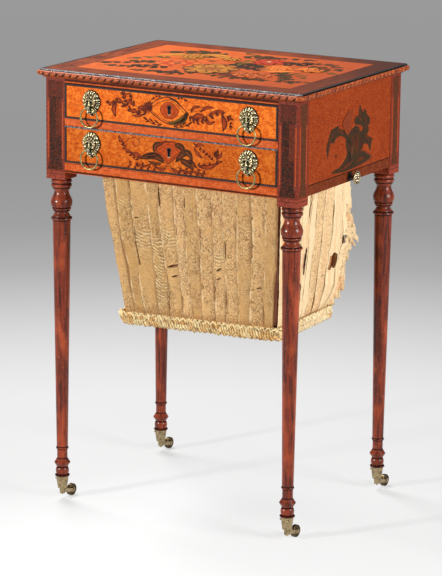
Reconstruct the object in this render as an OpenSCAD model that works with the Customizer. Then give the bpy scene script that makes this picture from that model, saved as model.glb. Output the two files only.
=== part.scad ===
// Work table with two drawers, a silk bag on a slide, and four turned legs on brass casters.
// The origin is on the floor under the middle of the top. The drawers open towards -Y and the
// bag slides out towards +X. All sizes are millimetres.

/* [Overall] */
// Height of the top above the floor
table_h = 738; // [700:1:780]
// Width over the outer faces of the legs
carcass_w = 468; // [440:1:520]
// Depth over the outer faces of the legs
carcass_d = 362; // [345:1:400]
// Side of the square block at the head of each leg
leg_block_w = 36; // [34:0.5:38]
// How far the blocks run below the carcass
leg_block_drop = 13; // [8:0.5:20]

/* [Top] */
// Thickness of the board under the veneer
top_board_t = 12.8; // [10:0.2:18]
// Thickness of the top's veneers
top_veneer_t = 1.2; // [0.8:0.1:2]
// How far the board stands out past the legs, under its mouldings
top_board_reach = 4; // [2:0.5:10]
// Width of the crossbanding round the field
crossband_w = 38; // [25:1:60]
// Corner radius of the board
top_corner_r = 2; // [1:0.5:6]
// Height of the upper bead on the edge
edge_bead_h = 2.2; // [1.8:0.1:2.4]
// How far the upper bead stands out from the board
edge_bead_reach = 5.5; // [3:0.1:9]
// Height of the rope moulding under the bead
rope_h = 8.4; // [6:0.1:8.6]
// How much of the board's plain edge shows under the rope moulding
rope_rise = 3.2; // [2:0.1:3.4]
// How far the rope moulding stands out from the board
rope_reach = 10; // [5.5:0.1:12]

/* [Front] */
// Height of the rail under the top
top_rail_h = 8.5; // [8:0.5:14]
// Height of the upper drawer's opening
upper_opening_h = 57; // [52:0.5:75]
// Height of the rail between the drawers
middle_rail_h = 12; // [9:0.5:20]
// Height of the lower drawer's opening
lower_opening_h = 61.5; // [54:0.5:80]
// Height of the rail under the lower drawer
bottom_rail_h = 17; // [17:0.5:24]
// Depth of the rails from front to back
rail_d = 24; // [21:0.5:30]

/* [Panels] */
// Thickness of the side panels
side_panel_t = 16; // [12:0.5:18]
// Thickness of the back panel
back_panel_t = 12; // [8:0.5:16]
// How far the panels lie behind the legs' faces
panel_inset = 0.5; // [0:0.1:2]

/* [Drawers] */
// Thickness of the drawer fronts
drawer_front_t = 18; // [15:0.5:20]
// Thickness of the drawer sides and backs
drawer_side_t = 8; // [6:0.5:10]
// Thickness of the drawer bottoms
drawer_bottom_t = 5; // [3:0.5:7]
// Depth of the grooves that hold the bottoms
drawer_groove_d = 4; // [2:0.5:5]
// Height of a drawer's bottom above the edge of its sides
drawer_bottom_rise = 4; // [3.5:0.5:6]
// Gap between a closed drawer and the back panel
drawer_back_gap = 13.5; // [5:0.5:60]
// How much lower the sides are than the opening
drawer_side_drop = 8; // [4:0.5:16]
// How much lower the backs are than the sides
drawer_back_drop = 6; // [2:0.5:12]
// Gap between a drawer and each side of its opening
drawer_gap = 0.6; // [0.3:0.1:1.5]
// Running gap under drawers and under the bag's slide
slide_gap = 0.3; // [0.2:0.1:0.8]
// Width of the bead round a drawer front
beading_w = 2.4; // [1.5:0.1:4]
// How deep the bead is let in
beading_d = 7; // [4:0.5:9]
// How far the bead stands proud
beading_proud = 0.8; // [0.3:0.1:1.5]

/* [Runners] */
// Width of the strips that carry the drawers
runner_w = 22; // [14:1:30]
// Thickness of the lower drawer's runners
lower_runner_t = 7; // [5:0.5:7.5]
// Height of the guides beside the drawers
guide_h = 22; // [12:1:40]
// Height of a drawer stop
stop_h = 3; // [2:0.25:3.25]
// Length of a drawer stop
stop_l = 24; // [12:1:40]
// Distance of the drawer stops from the middle
stop_x = 120; // [60:1:150]

/* [Locks] */
// Width of a lock
lock_w = 46; // [36:1:60]
// Height of a lock
lock_h = 34; // [32:1:40]
// Thickness of a lock
lock_t = 8.5; // [7:0.5:9]
// Width of a lock's bolt
bolt_w = 16; // [10:1:24]
// Thickness of a lock's bolt
bolt_t = 4; // [2.5:0.5:4.5]
// Height of a lock's bolt
bolt_h = 13; // [8:0.5:16]
// Gap round a bolt
bolt_gap = 0.3; // [0.2:0.05:0.6]
// Depth of the mortice that a bolt shoots into
mortice_d = 6; // [5.5:0.25:7]
// Distance of a keyhole from the edge that its bolt leaves
key_drop = 25.5; // [24:0.5:27]
// Radius of the round end of a keyhole
keyhole_r = 2.2; // [1.5:0.1:2.6]
// Width of the slot of a keyhole
keyhole_slot_w = 2.2; // [1.4:0.1:3]
// Length of the slot below the round end's middle
keyhole_slot_l = 8.6; // [6:0.2:9]
// Width of the metal rim round a keyhole
escutcheon_rim = 1.8; // [1:0.1:2.5]
// Thickness of an escutcheon
escutcheon_t = 2; // [1.2:0.1:3]
// How far an escutcheon stands proud
escutcheon_proud = 0.4; // [0.1:0.1:1]

/* [Lion masks] */
// Distance of the masks from the middle
mask_x = 146; // [100:1:165]
// Distance of a mask's middle below the top of its opening
mask_drop = 27; // [24:0.5:32]
// Radius of the mane
mask_r = 17.5; // [15:0.25:19]
// Thickness of the mane's rim
mask_rim_t = 2; // [1.5:0.25:3]
// How far the mane's dome stands out
mane_rise = 6; // [4.5:0.25:6.2]
// Radius of the muzzle
muzzle_r = 5.5; // [4.5:0.25:6]
// Height of the ring's pivot below a mask's middle
mouth_drop = 7.5; // [7:0.25:9]
// How far the ring's pivot stands out from the drawer front
mouth_out = 8.5; // [8.25:0.25:11]
// Width of the jaw that holds the ring
jaw_w = 8; // [6:0.5:9]
// Wall of the jaw round the ring
jaw_wall = 2; // [1.2:0.1:2.4]
// Radius of a mask's stud
stud_r = 2; // [1.5:0.1:2.5]
// Width of the square nut on the stud
nut_w = 9; // [7:0.5:12]
// Thickness of the nut
nut_t = 3; // [2:0.5:4]
// Length of the stud past the nut
stud_end_l = 1; // [0:0.25:3]
// Radius of a ring, to the middle of its wire
ring_r = 16; // [14:0.25:17]
// Radius of the ring's wire
ring_wire_r = 1.5; // [1.1:0.1:1.7]
// Gap round the wire in the jaw
ring_gap = 0.3; // [0.2:0.05:0.6]

/* [Bag slide] */
// Height of the slide's front
slide_front_h = 15; // [14:0.5:15.5]
// Height of the slide's front above the carcass's lower edge
slide_rise = 1; // [0.5:0.25:1.5]
// Thickness of the slide's frame
slide_frame_t = 8; // [6:0.5:8.5]
// Width of the lip that rides on the runner
slide_lip_w = 7; // [5:0.5:10]
// Thickness of the lip
slide_lip_t = 3.7; // [3:0.1:4.5]
// Gap between the slide and the legs
slide_side_gap = 0.6; // [0.3:0.1:1.5]
// Width of the frame's end rail
slide_end_w = 31; // [20:1:35]
// How far the frame's opening is smaller than the bag, each side
hem_w = 6; // [3:0.5:10]
// Radius of the knob's head
knob_r = 11.5; // [8:0.5:13]
// Thickness of the knob's head at its rim
knob_head_t = 4; // [2:0.5:6]
// Width of the chamfers on the head
knob_edge = 1; // [0.4:0.1:1.4]
// Radius of the boss in the middle of the head
knob_boss_r = 5.5; // [3:0.5:6.5]
// Height of the boss
knob_boss_h = 4; // [2:0.5:6]
// Radius of the knob's collar against the slide
knob_collar_r = 5.5; // [4.5:0.5:7]
// Thickness of the collar
knob_collar_t = 1.2; // [0.8:0.1:2]
// How far the knob stands out
knob_reach = 18; // [15:0.5:19]
// Radius of the knob's shank
knob_shank_r = 2.5; // [2:0.25:3.5]
// Length of the shank in the slide's front
knob_shank_l = 14; // [8:0.5:16]

/* [Bag] */
// Length of the bag's mouth
bag_mouth_l = 331; // [300:1:333]
// Width of the bag's mouth
bag_mouth_w = 250; // [200:1:256]
// Length of the bag's bottom
bag_base_l = 286; // [240:1:310]
// Width of the bag's bottom
bag_base_w = 182; // [150:1:230]
// Depth of the silk
bag_h = 243; // [160:1:300]
// Place of the bag's middle along the table
bag_x = 8.5; // [6:0.5:9]
// Thickness of the silk and its lining
silk_t = 1.6; // [1.2:0.1:2.5]
// Height of a pleat
pleat_h = 3; // [1.5:0.25:4]
// Number of pleats on the long sides
pleats_long = 13; // [8:1:14]
// Number of pleats on the short sides
pleats_short = 9; // [6:1:10]
// How far the sides belly out
bag_belly = 2.5; // [0:0.25:5]
// Thickness of the board in the bottom
bag_board_t = 4; // [2:0.5:6]
// How high the board lies above the silk's lower edge
bag_board_rise = 2; // [1:0.5:6]
// Height of the ruched braid round the bottom
braid_h = 24; // [16:1:30]
// Thickness of the braid
braid_t = 8; // [5:0.5:10]
// How far the braid laps over the silk
braid_lap = 7; // [3:0.5:10]

/* [Leg turning] */
// Radius of the fillet under the block
fillet_r = 15; // [13:0.25:16.5]
// Height of the fillet under the block
fillet_h = 2.3; // [1:0.1:4]
// Radius of the two rings under the block
collar_r = 17.2; // [15.5:0.1:17.8]
// Height of each of the two rings
collar_h = 6; // [4:0.25:8]
// Height of the groove between the rings
collar_groove_h = 1.2; // [0.5:0.1:2.5]
// Radius of the upper neck
neck_r = 12.2; // [10:0.1:13.5]
// Height from the rings to the upper neck
neck_h = 7.5; // [4:0.5:10]
// Radius of the baluster
baluster_r = 17.9; // [15:0.1:18]
// Height from the neck to the widest part of the baluster
baluster_rise = 17.5; // [12:0.5:24]
// Height from the baluster's widest part to its foot
baluster_foot_h = 8.5; // [6:0.5:12]
// Radius of the baluster's foot
baluster_foot_r = 15.6; // [13:0.1:16.5]
// Height of the ring under the baluster
small_ring_h = 3.6; // [2:0.2:5]
// Radius of the ring under the baluster
small_ring_r = 15.8; // [14.2:0.1:17]
// Radius of the grooves beside that ring
small_ring_root_r = 14.4; // [13:0.1:14.8]
// Radius of the lower neck
lower_neck_r = 11.5; // [10:0.1:13]
// Height of the lower neck
lower_neck_h = 12; // [8:0.5:18]
// Radius of the ring that crowns the shaft
shaft_ring_r = 17.7; // [15.5:0.1:18]
// Height of the ring that crowns the shaft
shaft_ring_h = 5; // [3:0.25:7]
// Radius of the shaft's top
shaft_top_r = 14.9; // [13:0.1:15.4]
// Radius of the shaft's foot
shaft_foot_r = 9.5; // [9:0.1:12]
// Radius of the ring at the shaft's foot
ankle_ring_r = 10.7; // [10:0.1:13]
// Height of the ring at the shaft's foot
ankle_ring_h = 4; // [2:0.2:6]
// Radius of the ankle
ankle_r = 8.8; // [7.5:0.1:9]
// Height of the ankle
ankle_h = 15.5; // [8:0.5:24]
// Radius of the diamond turning
diamond_r = 13.7; // [11:0.1:15]
// Height of the diamond turning
diamond_h = 16; // [10:0.5:22]
// Radius of the bulb over the caster
bulb_r = 11.2; // [9.8:0.1:13]
// Height of the bulb over the caster
bulb_h = 13; // [8:0.5:18]
// Radius of the flange that sits on the cup
flange_r = 12.6; // [11.5:0.1:14]
// Height of the flange
flange_h = 3; // [2:0.2:5]

/* [Casters] */
// Height of the cup's bottom above the floor
cup_rise = 19; // [18:0.5:24]
// Height of the cup
cup_h = 22; // [18:0.5:28]
// Radius of the cup's top
cup_top_r = 10.7; // [10:0.1:11.4]
// Radius of the cup's bottom
cup_foot_r = 8; // [7:0.1:9.5]
// Thickness of the cup's wall
cup_wall = 1.2; // [0.8:0.1:2]
// Thickness of the cup's floor
cup_floor_t = 1.8; // [1:0.1:3]
// Radius of a screw's shank
cup_screw_r = 1.1; // [0.8:0.1:1.5]
// Radius of a screw's head
cup_screw_head_r = 2.1; // [1.7:0.1:2.5]
// Length of a screw's shank
cup_screw_l = 5; // [3:0.5:6]
// Distance of the screws below the cup's top
cup_screw_drop = 5; // [4:0.5:8]
// Number of screws in each cup
cup_screws = 3; // [2:1:4]
// Direction of the first screw, from +X
cup_screw_turn = -50; // [-90:1:0]
// Radius of the cup's lower edge
cup_round = 2; // [1:0.1:3]
// Radius of the horn's pivot
pivot_r = 2.5; // [2:0.1:3]
// Length of the pivot above the cup's bottom
pivot_l = 24; // [12:0.5:30]
// Running gap round pivots and axles
running_gap = 0.06; // [0.03:0.01:0.09]
// Gap above the pivot's end in the leg
pivot_end_gap = 0.5; // [0.2:0.1:2]
// Gap between the horn and the cup
horn_gap = 0.3; // [0.2:0.05:0.5]
// Radius of the horn's hub
hub_r = 4.6; // [4:0.1:5.5]
// Height of the horn's hub
hub_h = 8.4; // [6:0.2:9]
// Height of the point under the hub
hub_tip_h = 3; // [1:0.2:4]
// Radius of the point under the hub
hub_tip_r = 3; // [2:0.1:4]
// Height of the hub's rim above the arms
arm_drop = 1; // [0.5:0.1:2]
// Gap between the wheel and the web of its horn
wheel_room = 2; // [0.5:0.1:3]
// Height of the horn's arms at the hub
arm_root_h = 5.4; // [4:0.2:7]
// Height of the horn's arms at the axle
arm_end_h = 5.6; // [4:0.2:6.6]
// Length of the web that joins the arms, from the pivot
arm_web_l = 6.6; // [5:0.2:9]
// Thickness of the horn's cheeks
cheek_t = 1.8; // [1.2:0.1:3]
// Radius of the cheeks round the axle
cheek_r = 3.7; // [3:0.1:5]
// Gap between the wheel and each cheek
cheek_gap = 0.4; // [0.3:0.05:0.8]
// Radius of a wheel
wheel_r = 10.4; // [9:0.1:11]
// Width of a wheel
wheel_w = 7; // [5:0.25:9]
// Width of the flat rims on a wheel's sides
wheel_rim_w = 2; // [1:0.1:3]
// Depth of the dish in a wheel's sides
wheel_dish = 1.2; // [0.4:0.1:2]
// Radius of a wheel's hub
wheel_hub_r = 3.6; // [3:0.1:4.5]
// Bevel on a wheel's rolling edges
wheel_edge = 0.8; // [0.3:0.1:1.2]
// Radius of an axle
axle_r = 1.5; // [1.1:0.1:2]
// Radius of an axle's heads
axle_head_r = 2.4; // [2.2:0.1:3]
// Thickness of an axle's heads
axle_head_t = 0.8; // [0.5:0.1:1.2]
// Distance from the pivot to the axle
caster_trail = 25; // [23:0.5:28]
// Direction that the casters trail in, from +X
caster_turn = 85; // [60:1:120]

/* [Joinery] */
// Gap left at glued joints, mitres and threads
glue_gap = 0.04; // [0.02:0.01:0.1]
// Angle taken off each end of a moulding's corner
mitre_relief = 0.5; // [0.3:0.1:1]

/* [Hidden] */
$fn = 64;
CURVE_STEPS = 10;
SIDES = [-1, 1];
CUT = 1;

// Colours
mahogany = [0.36, 0.12, 0.08];
dark_mahogany = [0.26, 0.09, 0.07];
veneer = [0.62, 0.22, 0.10];
satinwood = [0.86, 0.42, 0.12];
oak = [0.66, 0.50, 0.32];
brass = [0.66, 0.55, 0.30];
ebony = [0.09, 0.06, 0.05];
silk = [0.84, 0.69, 0.45];

// Levels, from the floor up
board_z1 = table_h - top_veneer_t;
board_z0 = board_z1 - top_board_t;
upper_z1 = board_z0 - top_rail_h;
upper_z0 = upper_z1 - upper_opening_h;
lower_z1 = upper_z0 - middle_rail_h;
lower_z0 = lower_z1 - lower_opening_h;
carcass_z0 = lower_z0 - bottom_rail_h;
block_z0 = carcass_z0 - leg_block_drop;
slide_z0 = carcass_z0 + slide_rise;
slide_z1 = slide_z0 + slide_front_h;
frame_z1 = slide_z0 + slide_frame_t;

// Faces, from the middle out
half_w = carcass_w / 2;
half_d = carcass_d / 2;
front_y = -half_d;
leg_x = half_w - leg_block_w / 2;
leg_y = half_d - leg_block_w / 2;
opening_x = half_w - leg_block_w;
opening_y = half_d - leg_block_w;
side_x1 = half_w - panel_inset;
side_x0 = side_x1 - side_panel_t;
back_y1 = half_d - panel_inset;
back_y0 = back_y1 - back_panel_t;
rail_y1 = front_y + rail_d;
drawer_x1 = opening_x - drawer_gap;
drawer_y0 = front_y + drawer_front_t;
drawer_y1 = back_y0 - drawer_back_gap;
board_x = half_w + top_board_reach;
board_y = half_d + top_board_reach;
field_x = board_x - crossband_w;
field_y = board_y - crossband_w;
slide_y1 = opening_y - slide_side_gap;

// Lock bolts
bolt_y = drawer_y0 - lock_t / 2;
bolt_x = side_x0 + lock_t / 2;
side_lock_z = slide_z1 + slide_gap;

// Bag
bag_z1 = slide_z0;
bag_z0 = bag_z1 - bag_h;
braid_z1 = bag_z0 + braid_lap;
BAG_ROWS = 4;
PLEAT_STEPS = [[0, 0], [0.16, 1], [0.84, 0.8]];

// Caster levels
cup_z1 = cup_rise + cup_h;
spigot_z0 = cup_rise + cup_floor_t;
spigot_top_r = cup_top_r - cup_wall;
spigot_foot_r = cup_foot_r - cup_wall;
pivot_z1 = cup_rise + pivot_l;
hub_z1 = cup_rise - horn_gap;
hub_z0 = hub_z1 - hub_h;
horn_half_w = wheel_w / 2 + cheek_gap + cheek_t;
arm_z1 = hub_z1 - arm_drop;
arm_end_x = caster_trail - cheek_r / 2;

// A box between two corners
module block(x0, x1, y0, y1, z0, z1) {
    translate([x0, y0, z0]) cube([x1 - x0, y1 - y0, z1 - z0]);
}

// A round bar that stands between two levels
module upright(r, z0, z1) translate([0, 0, z0]) cylinder(r = r, h = z1 - z0);

// The children and their mirror image across the middle
module both_x() {
    children();
    mirror([1, 0, 0]) children();
}

module both_y() {
    children();
    mirror([0, 1, 0]) children();
}

// A slab with round corners
module slab(hx, hy, r, z0, z1) {
    block(-hx + r, hx - r, -hy, hy, z0, z1);
    block(-hx, hx, -hy + r, hy - r, z0, z1);
    for (sx = SIDES, sy = SIDES)
        translate([sx * (hx - r), sy * (hy - r), z0]) cylinder(r = r, h = z1 - z0);
}

// Top
module top_board() color(dark_mahogany) slab(board_x, board_y, top_corner_r, board_z0, board_z1);

module top_field() color(satinwood)
    block(-field_x, field_x, -field_y, field_y, board_z1, table_h);

// One mitred strip of crossbanding, on the side that faces -Y
module crossband_strip(hx, hy)
    linear_extrude(top_veneer_t) mitred_strip(hx, hy, crossband_w);

// Outline of a strip of width w with mitred ends, along the -Y side of a rectangle
module mitred_strip(hx, hy, w) {
    end = hx - glue_gap;
    polygon([[-end, -hy], [end, -hy], [end - w, w - hy], [w - end, w - hy]]);
}

module top_crossband() color(dark_mahogany)
    for (side = SIDES) {
        intersection() {
            slab(board_x, board_y, top_corner_r, board_z1, table_h);
            translate([0, 0, board_z1]) rotate([0, 0, side > 0 ? 180 : 0])
                crossband_strip(board_x, board_y);
        }
        intersection() {
            slab(board_x, board_y, top_corner_r, board_z1, table_h);
            translate([0, 0, board_z1]) rotate([0, 0, side * 90])
                crossband_strip(board_y, board_x);
        }
    }

// One mitred length of edge moulding on the -Y side, with half of each corner. The child is its
// section: x away from the board, y up.
module edge_length(run, off) {
    straight = run - top_corner_r;
    translate([0, -off, 0]) mirror([0, 1, 0]) rotate([90, 0, 90])
        linear_extrude(2 * straight, center = true) children();
    both_x() translate([straight, top_corner_r - off, 0]) rotate([0, 0, -90])
        rotate_extrude(angle = 45 - mitre_relief) translate([top_corner_r, 0]) children();
}

module edge_moulding() {
    for (turn = [0, 180]) rotate([0, 0, turn]) edge_length(board_x, board_y) children();
    for (turn = [90, -90]) rotate([0, 0, turn]) edge_length(board_y, board_x) children();
}

// Half-round section that stands on its back edge
module half_round(reach, h) {
    square([reach - h / 2, h]);
    translate([reach - h / 2, h / 2]) intersection() {
        circle(d = h);
        translate([0, -h / 2]) square([h / 2, h]);
    }
}

module top_edge_bead() color(ebony) edge_moulding()
    translate([0, board_z0 + rope_rise + rope_h]) half_round(edge_bead_reach, edge_bead_h);

module top_rope_moulding() color(mahogany) edge_moulding()
    translate([0, board_z0 + rope_rise]) half_round(rope_reach, rope_h);

// Points of a bead that swells from radius r between two heights
function bead(z1, z0, r, swell) =
    [for (i = [0:CURVE_STEPS]) let (a = 180 * i / CURVE_STEPS)
        [r + swell * sin(a), z1 + (z0 - z1) * (1 - cos(a)) / 2]];

// Points of a smooth S between two radii
function ogee(z1, r1, z0, r0) =
    [for (i = [0:CURVE_STEPS]) let (t = i / CURVE_STEPS)
        [r1 + (r0 - r1) * (1 - cos(180 * t)) / 2, z1 + (z0 - z1) * t]];

// Points of a quarter round from the widest radius to a foot
function quarter(z1, r1, z0, r0) =
    [for (i = [0:CURVE_STEPS]) let (a = 90 * i / CURVE_STEPS)
        [r0 + (r1 - r0) * cos(a), z1 + (z0 - z1) * sin(a)]];

// Heights along the turning
collar1_z = block_z0 - fillet_h;
collar2_z = collar1_z - collar_h - collar_groove_h;
neck_z1 = collar2_z - collar_h;
neck_z0 = neck_z1 - neck_h;
baluster_z = neck_z0 - baluster_rise;
baluster_z0 = baluster_z - baluster_foot_h;
small_ring_z = baluster_z0 - collar_groove_h;
lower_neck_z1 = small_ring_z - small_ring_h;
lower_neck_z = lower_neck_z1 - lower_neck_h / 3;
shaft_ring_z = lower_neck_z1 - lower_neck_h;
shaft_z1 = shaft_ring_z - shaft_ring_h;
flange_z1 = cup_z1 + flange_h;
bulb_z1 = flange_z1 + bulb_h;
diamond_z1 = bulb_z1 + diamond_h;
ankle_z1 = diamond_z1 + ankle_h;
shaft_z0 = ankle_z1 + ankle_ring_h;

// The turning starts inside the block
function leg_profile() = concat(
    [[0, block_z0 + CUT], [fillet_r, block_z0 + CUT], [fillet_r, block_z0]],
    bead(collar1_z, collar1_z - collar_h, fillet_r, collar_r - fillet_r),
    bead(collar2_z, neck_z1, fillet_r, collar_r - fillet_r),
    ogee(neck_z1 - collar_groove_h, fillet_r, neck_z0, neck_r),
    ogee(neck_z0, neck_r, baluster_z, baluster_r),
    quarter(baluster_z, baluster_r, baluster_z0, baluster_foot_r),
    bead(small_ring_z, lower_neck_z1, small_ring_root_r, small_ring_r - small_ring_root_r),
    quarter(lower_neck_z1, small_ring_root_r, lower_neck_z, lower_neck_r),
    ogee(lower_neck_z, lower_neck_r, shaft_ring_z, shaft_top_r),
    bead(shaft_ring_z, shaft_z1, shaft_top_r, shaft_ring_r - shaft_top_r),
    [[shaft_foot_r, shaft_z0]],
    bead(shaft_z0, ankle_z1, ankle_r, ankle_ring_r - ankle_r),
    [[ankle_r, diamond_z1], [diamond_r, (diamond_z1 + bulb_z1) / 2], [ankle_r, bulb_z1]],
    bead(bulb_z1, flange_z1, ankle_r, bulb_r - ankle_r),
    bead(flange_z1, cup_z1, cup_top_r, flange_r - cup_top_r),
    [[spigot_top_r, cup_z1], [spigot_foot_r, spigot_z0], [0, spigot_z0]]
);

// Where a leg's middle is
function leg_place(sx, sy) = [sx * leg_x, sy * leg_y, 0];

module cup_screw_places()
    for (i = [0:cup_screws - 1]) rotate([0, 0, 360 * i / cup_screws + cup_screw_turn])
        translate([0, 0, cup_z1 - cup_screw_drop]) rotate([0, 90, 0]) children();

module leg(sx, sy) color(mahogany) translate(leg_place(sx, sy)) difference() {
    union() {
        block(-leg_block_w / 2, leg_block_w / 2, -leg_block_w / 2, leg_block_w / 2,
              block_z0, board_z0);
        rotate_extrude() polygon(leg_profile());
    }
    upright(pivot_r + running_gap, spigot_z0 - CUT, pivot_z1 + pivot_end_gap);
    cup_screw_places() translate([0, 0, cup_top_r - cup_screw_l])
        cylinder(r = cup_screw_r, h = cup_screw_l);
}

// Carcass
module side_panel_left() color(veneer)
    block(-side_x1, -side_x0, -opening_y, opening_y, carcass_z0, board_z0);

module side_panel_right() color(veneer) difference() {
    block(side_x0, side_x1, -opening_y, opening_y, side_lock_z, board_z0);
    on_side_lock() lock_recess();
    on_side_lock() keyhole_cut(side_panel_t);
    on_side_lock() escutcheon_seat(side_panel_t);
}

module back_panel() color(veneer)
    block(-opening_x, opening_x, back_y0, back_y1, carcass_z0, board_z0);

module rail(z0, z1) block(-opening_x, opening_x, front_y, rail_y1, z0, z1);

// Mortice over a lock, with its mouth at height z
module rail_mortice(z)
    block(-bolt_w / 2 - bolt_gap, bolt_w / 2 + bolt_gap, bolt_y - bolt_t / 2 - bolt_gap,
          bolt_y + bolt_t / 2 + bolt_gap, z - CUT, z + mortice_d);

module front_top_rail() color(veneer) difference() {
    rail(upper_z1, board_z0);
    rail_mortice(upper_z1);
}

module front_middle_rail() color(veneer) difference() {
    rail(lower_z1, upper_z0);
    rail_mortice(lower_z1);
}

module front_bottom_rail() color(veneer) rail(carcass_z0, lower_z0);

// A strip along the inside of a side that also fills in between the legs
module side_strip(z0, z1) {
    block(opening_x - runner_w, opening_x, rail_y1, back_y0, z0, z1);
    block(opening_x - CUT, side_x0, -opening_y, opening_y, z0, z1);
}

module drawer_runners() color(oak) both_x() {
    side_strip(lower_z1, upper_z0);
    side_strip(lower_z0 - lower_runner_t, lower_z0);
    for (z = [upper_z0, lower_z0])
        block(opening_x, side_x0, -opening_y, opening_y, z + glue_gap, z + guide_h);
}

module kicker_strips() color(oak) both_x() side_strip(upper_z1, board_z0);

module drawer_stops() color(oak) both_x()
    for (z = [upper_z0, lower_z0])
        block(stop_x - stop_l / 2, stop_x + stop_l / 2, drawer_y0 + slide_gap, rail_y1, z, z + stop_h);

module bag_runner(wall_y) {
    block(-opening_x, opening_x, opening_y, wall_y, slide_z0, frame_z1);
    block(-opening_x, opening_x, slide_y1 - slide_lip_w + slide_side_gap, opening_y + CUT,
          slide_z0, frame_z1 - slide_lip_t - slide_gap);
}

module bag_runners() color(oak) {
    bag_runner(back_y0);
    mirror([0, 1, 0]) bag_runner(-rail_y1);
}

// Locks. A lock's own frame has its face towards -Y, its back at y = 0, and its bolt's edge
// at z = 0.
module lock_recess() block(-lock_w / 2, lock_w / 2, -lock_t, CUT, -lock_h, CUT);

module keyhole_shape(grow = 0) {
    circle(r = keyhole_r + grow);
    translate([-keyhole_slot_w / 2 - grow, -keyhole_slot_l])
        square([keyhole_slot_w + 2 * grow, keyhole_slot_l]);
    translate([0, -keyhole_slot_l]) circle(r = keyhole_slot_w / 2 + grow);
}

// The keyhole, from y0 back to y1 in a lock's own frame
module keyhole(y0, y1, grow = 0)
    translate([0, y1, -key_drop + keyhole_slot_l / 2]) rotate([90, 0, 0])
        linear_extrude(y1 - y0) keyhole_shape(grow);

module keyhole_cut(t) keyhole(-t - CUT, CUT - lock_t);

module escutcheon_seat(t)
    keyhole(-t - CUT, -t + escutcheon_t - escutcheon_proud, escutcheon_rim);

module lock_case() difference() {
    block(-lock_w / 2, lock_w / 2, -lock_t, 0, -lock_h, 0);
    block(-bolt_w / 2 - bolt_gap, bolt_w / 2 + bolt_gap, -lock_t / 2 - bolt_t / 2 - bolt_gap,
          -lock_t / 2 + bolt_t / 2 + bolt_gap, -bolt_h - bolt_gap, CUT);
    keyhole(-lock_t - CUT, -lock_t / 2);
}

module lock_bolt()
    block(-bolt_w / 2, bolt_w / 2, -lock_t / 2 - bolt_t / 2, -lock_t / 2 + bolt_t / 2, -bolt_h, 0);

module escutcheon(t) difference() {
    keyhole(-t - escutcheon_proud, -t + escutcheon_t - escutcheon_proud, escutcheon_rim);
    keyhole(-t - CUT, 0);
}

module on_side_lock()
    translate([side_x0, 0, side_lock_z]) rotate([0, 0, 90]) mirror([0, 0, 1]) children();

module side_lock() color(brass) on_side_lock() lock_case();
module side_lock_bolt() color(brass) on_side_lock() lock_bolt();
module side_escutcheon() color(brass) on_side_lock() escutcheon(side_panel_t);

// Drawers. z0 and h are the level and the height of the opening.
function drawer_z0(z0) = z0 + slide_gap;
function drawer_z1(z0, h) = z0 + h - slide_gap;
function side_z1(z0, h) = z0 + h - drawer_side_drop;
function bottom_z0(z0) = drawer_z0(z0) + drawer_bottom_rise;
function bottom_z1(z0) = bottom_z0(z0) + drawer_bottom_t;

module on_drawer_lock(z0, h) translate([0, drawer_y0, drawer_z1(z0, h)]) children();

module drawer_bottom_slab(z0)
    block(-drawer_x1 + drawer_side_t - drawer_groove_d, drawer_x1 - drawer_side_t + drawer_groove_d,
          drawer_y0 - drawer_groove_d, drawer_y1, bottom_z0(z0), bottom_z1(z0));

module drawer_front(z0, h) difference() {
    union() {
        block(-drawer_x1, drawer_x1, front_y + beading_d, drawer_y0, drawer_z0(z0), drawer_z1(z0, h));
        block(beading_w - drawer_x1, drawer_x1 - beading_w, front_y, drawer_y0,
              drawer_z0(z0) + beading_w, drawer_z1(z0, h) - beading_w);
    }
    drawer_bottom_slab(z0);
    on_drawer_lock(z0, h) lock_recess();
    on_drawer_lock(z0, h) keyhole_cut(drawer_front_t);
    on_drawer_lock(z0, h) escutcheon_seat(drawer_front_t);
    both_x() translate([mask_x, drawer_y0 + CUT, z0 + h - mask_drop]) rotate([90, 0, 0])
        cylinder(r = stud_r, h = drawer_front_t + 2 * CUT);
}

module drawer_sides(z0, h) difference() {
    both_x() block(drawer_x1 - drawer_side_t, drawer_x1, drawer_y0, drawer_y1,
                   drawer_z0(z0), side_z1(z0, h));
    drawer_bottom_slab(z0);
}

module drawer_back(z0, h)
    block(-drawer_x1 + drawer_side_t, drawer_x1 - drawer_side_t, drawer_y1 - drawer_side_t, drawer_y1,
          bottom_z1(z0), side_z1(z0, h) - drawer_back_drop);

// The bead round a drawer front: top and bottom strips with the side strips mitred between
module drawer_beading(z0, h) {
    zm = (drawer_z0(z0) + drawer_z1(z0, h)) / 2;
    hz = (drawer_z1(z0, h) - drawer_z0(z0)) / 2;
    translate([0, front_y + beading_d, zm]) rotate([90, 0, 0]) {
        for (turn = [0, 180]) rotate([0, 0, turn]) beading_strip(drawer_x1, hz);
        for (turn = [90, -90]) rotate([0, 0, turn]) beading_strip(hz, drawer_x1);
    }
}

module beading_strip(hx, hy)
    linear_extrude(beading_d + beading_proud) mitred_strip(hx, hy, beading_w);

// Lion mask in its own frame: z away from the drawer front, y up, the pivot along x. The bore
// in the jaw leaves room for the ring's bend.
brow_place = [0, 7, 5.5];
brow_r = 6.5;
cheek_place = [6.5, 0.5, 6];
face_cheek_r = 5;
ear_place = [11.5, 13, 3];
ear_r = 4;
muzzle_drop = 1;
mask_lobe_in = 5;
mask_lobe_r = 9;
jaw_bore_r = ring_wire_r + ring_gap + ring_r - sqrt(pow(ring_r, 2) - pow(jaw_w / 2, 2));
jaw_r = jaw_bore_r + jaw_wall;
stud_z0 = -drawer_front_t - nut_t - stud_end_l;

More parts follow.
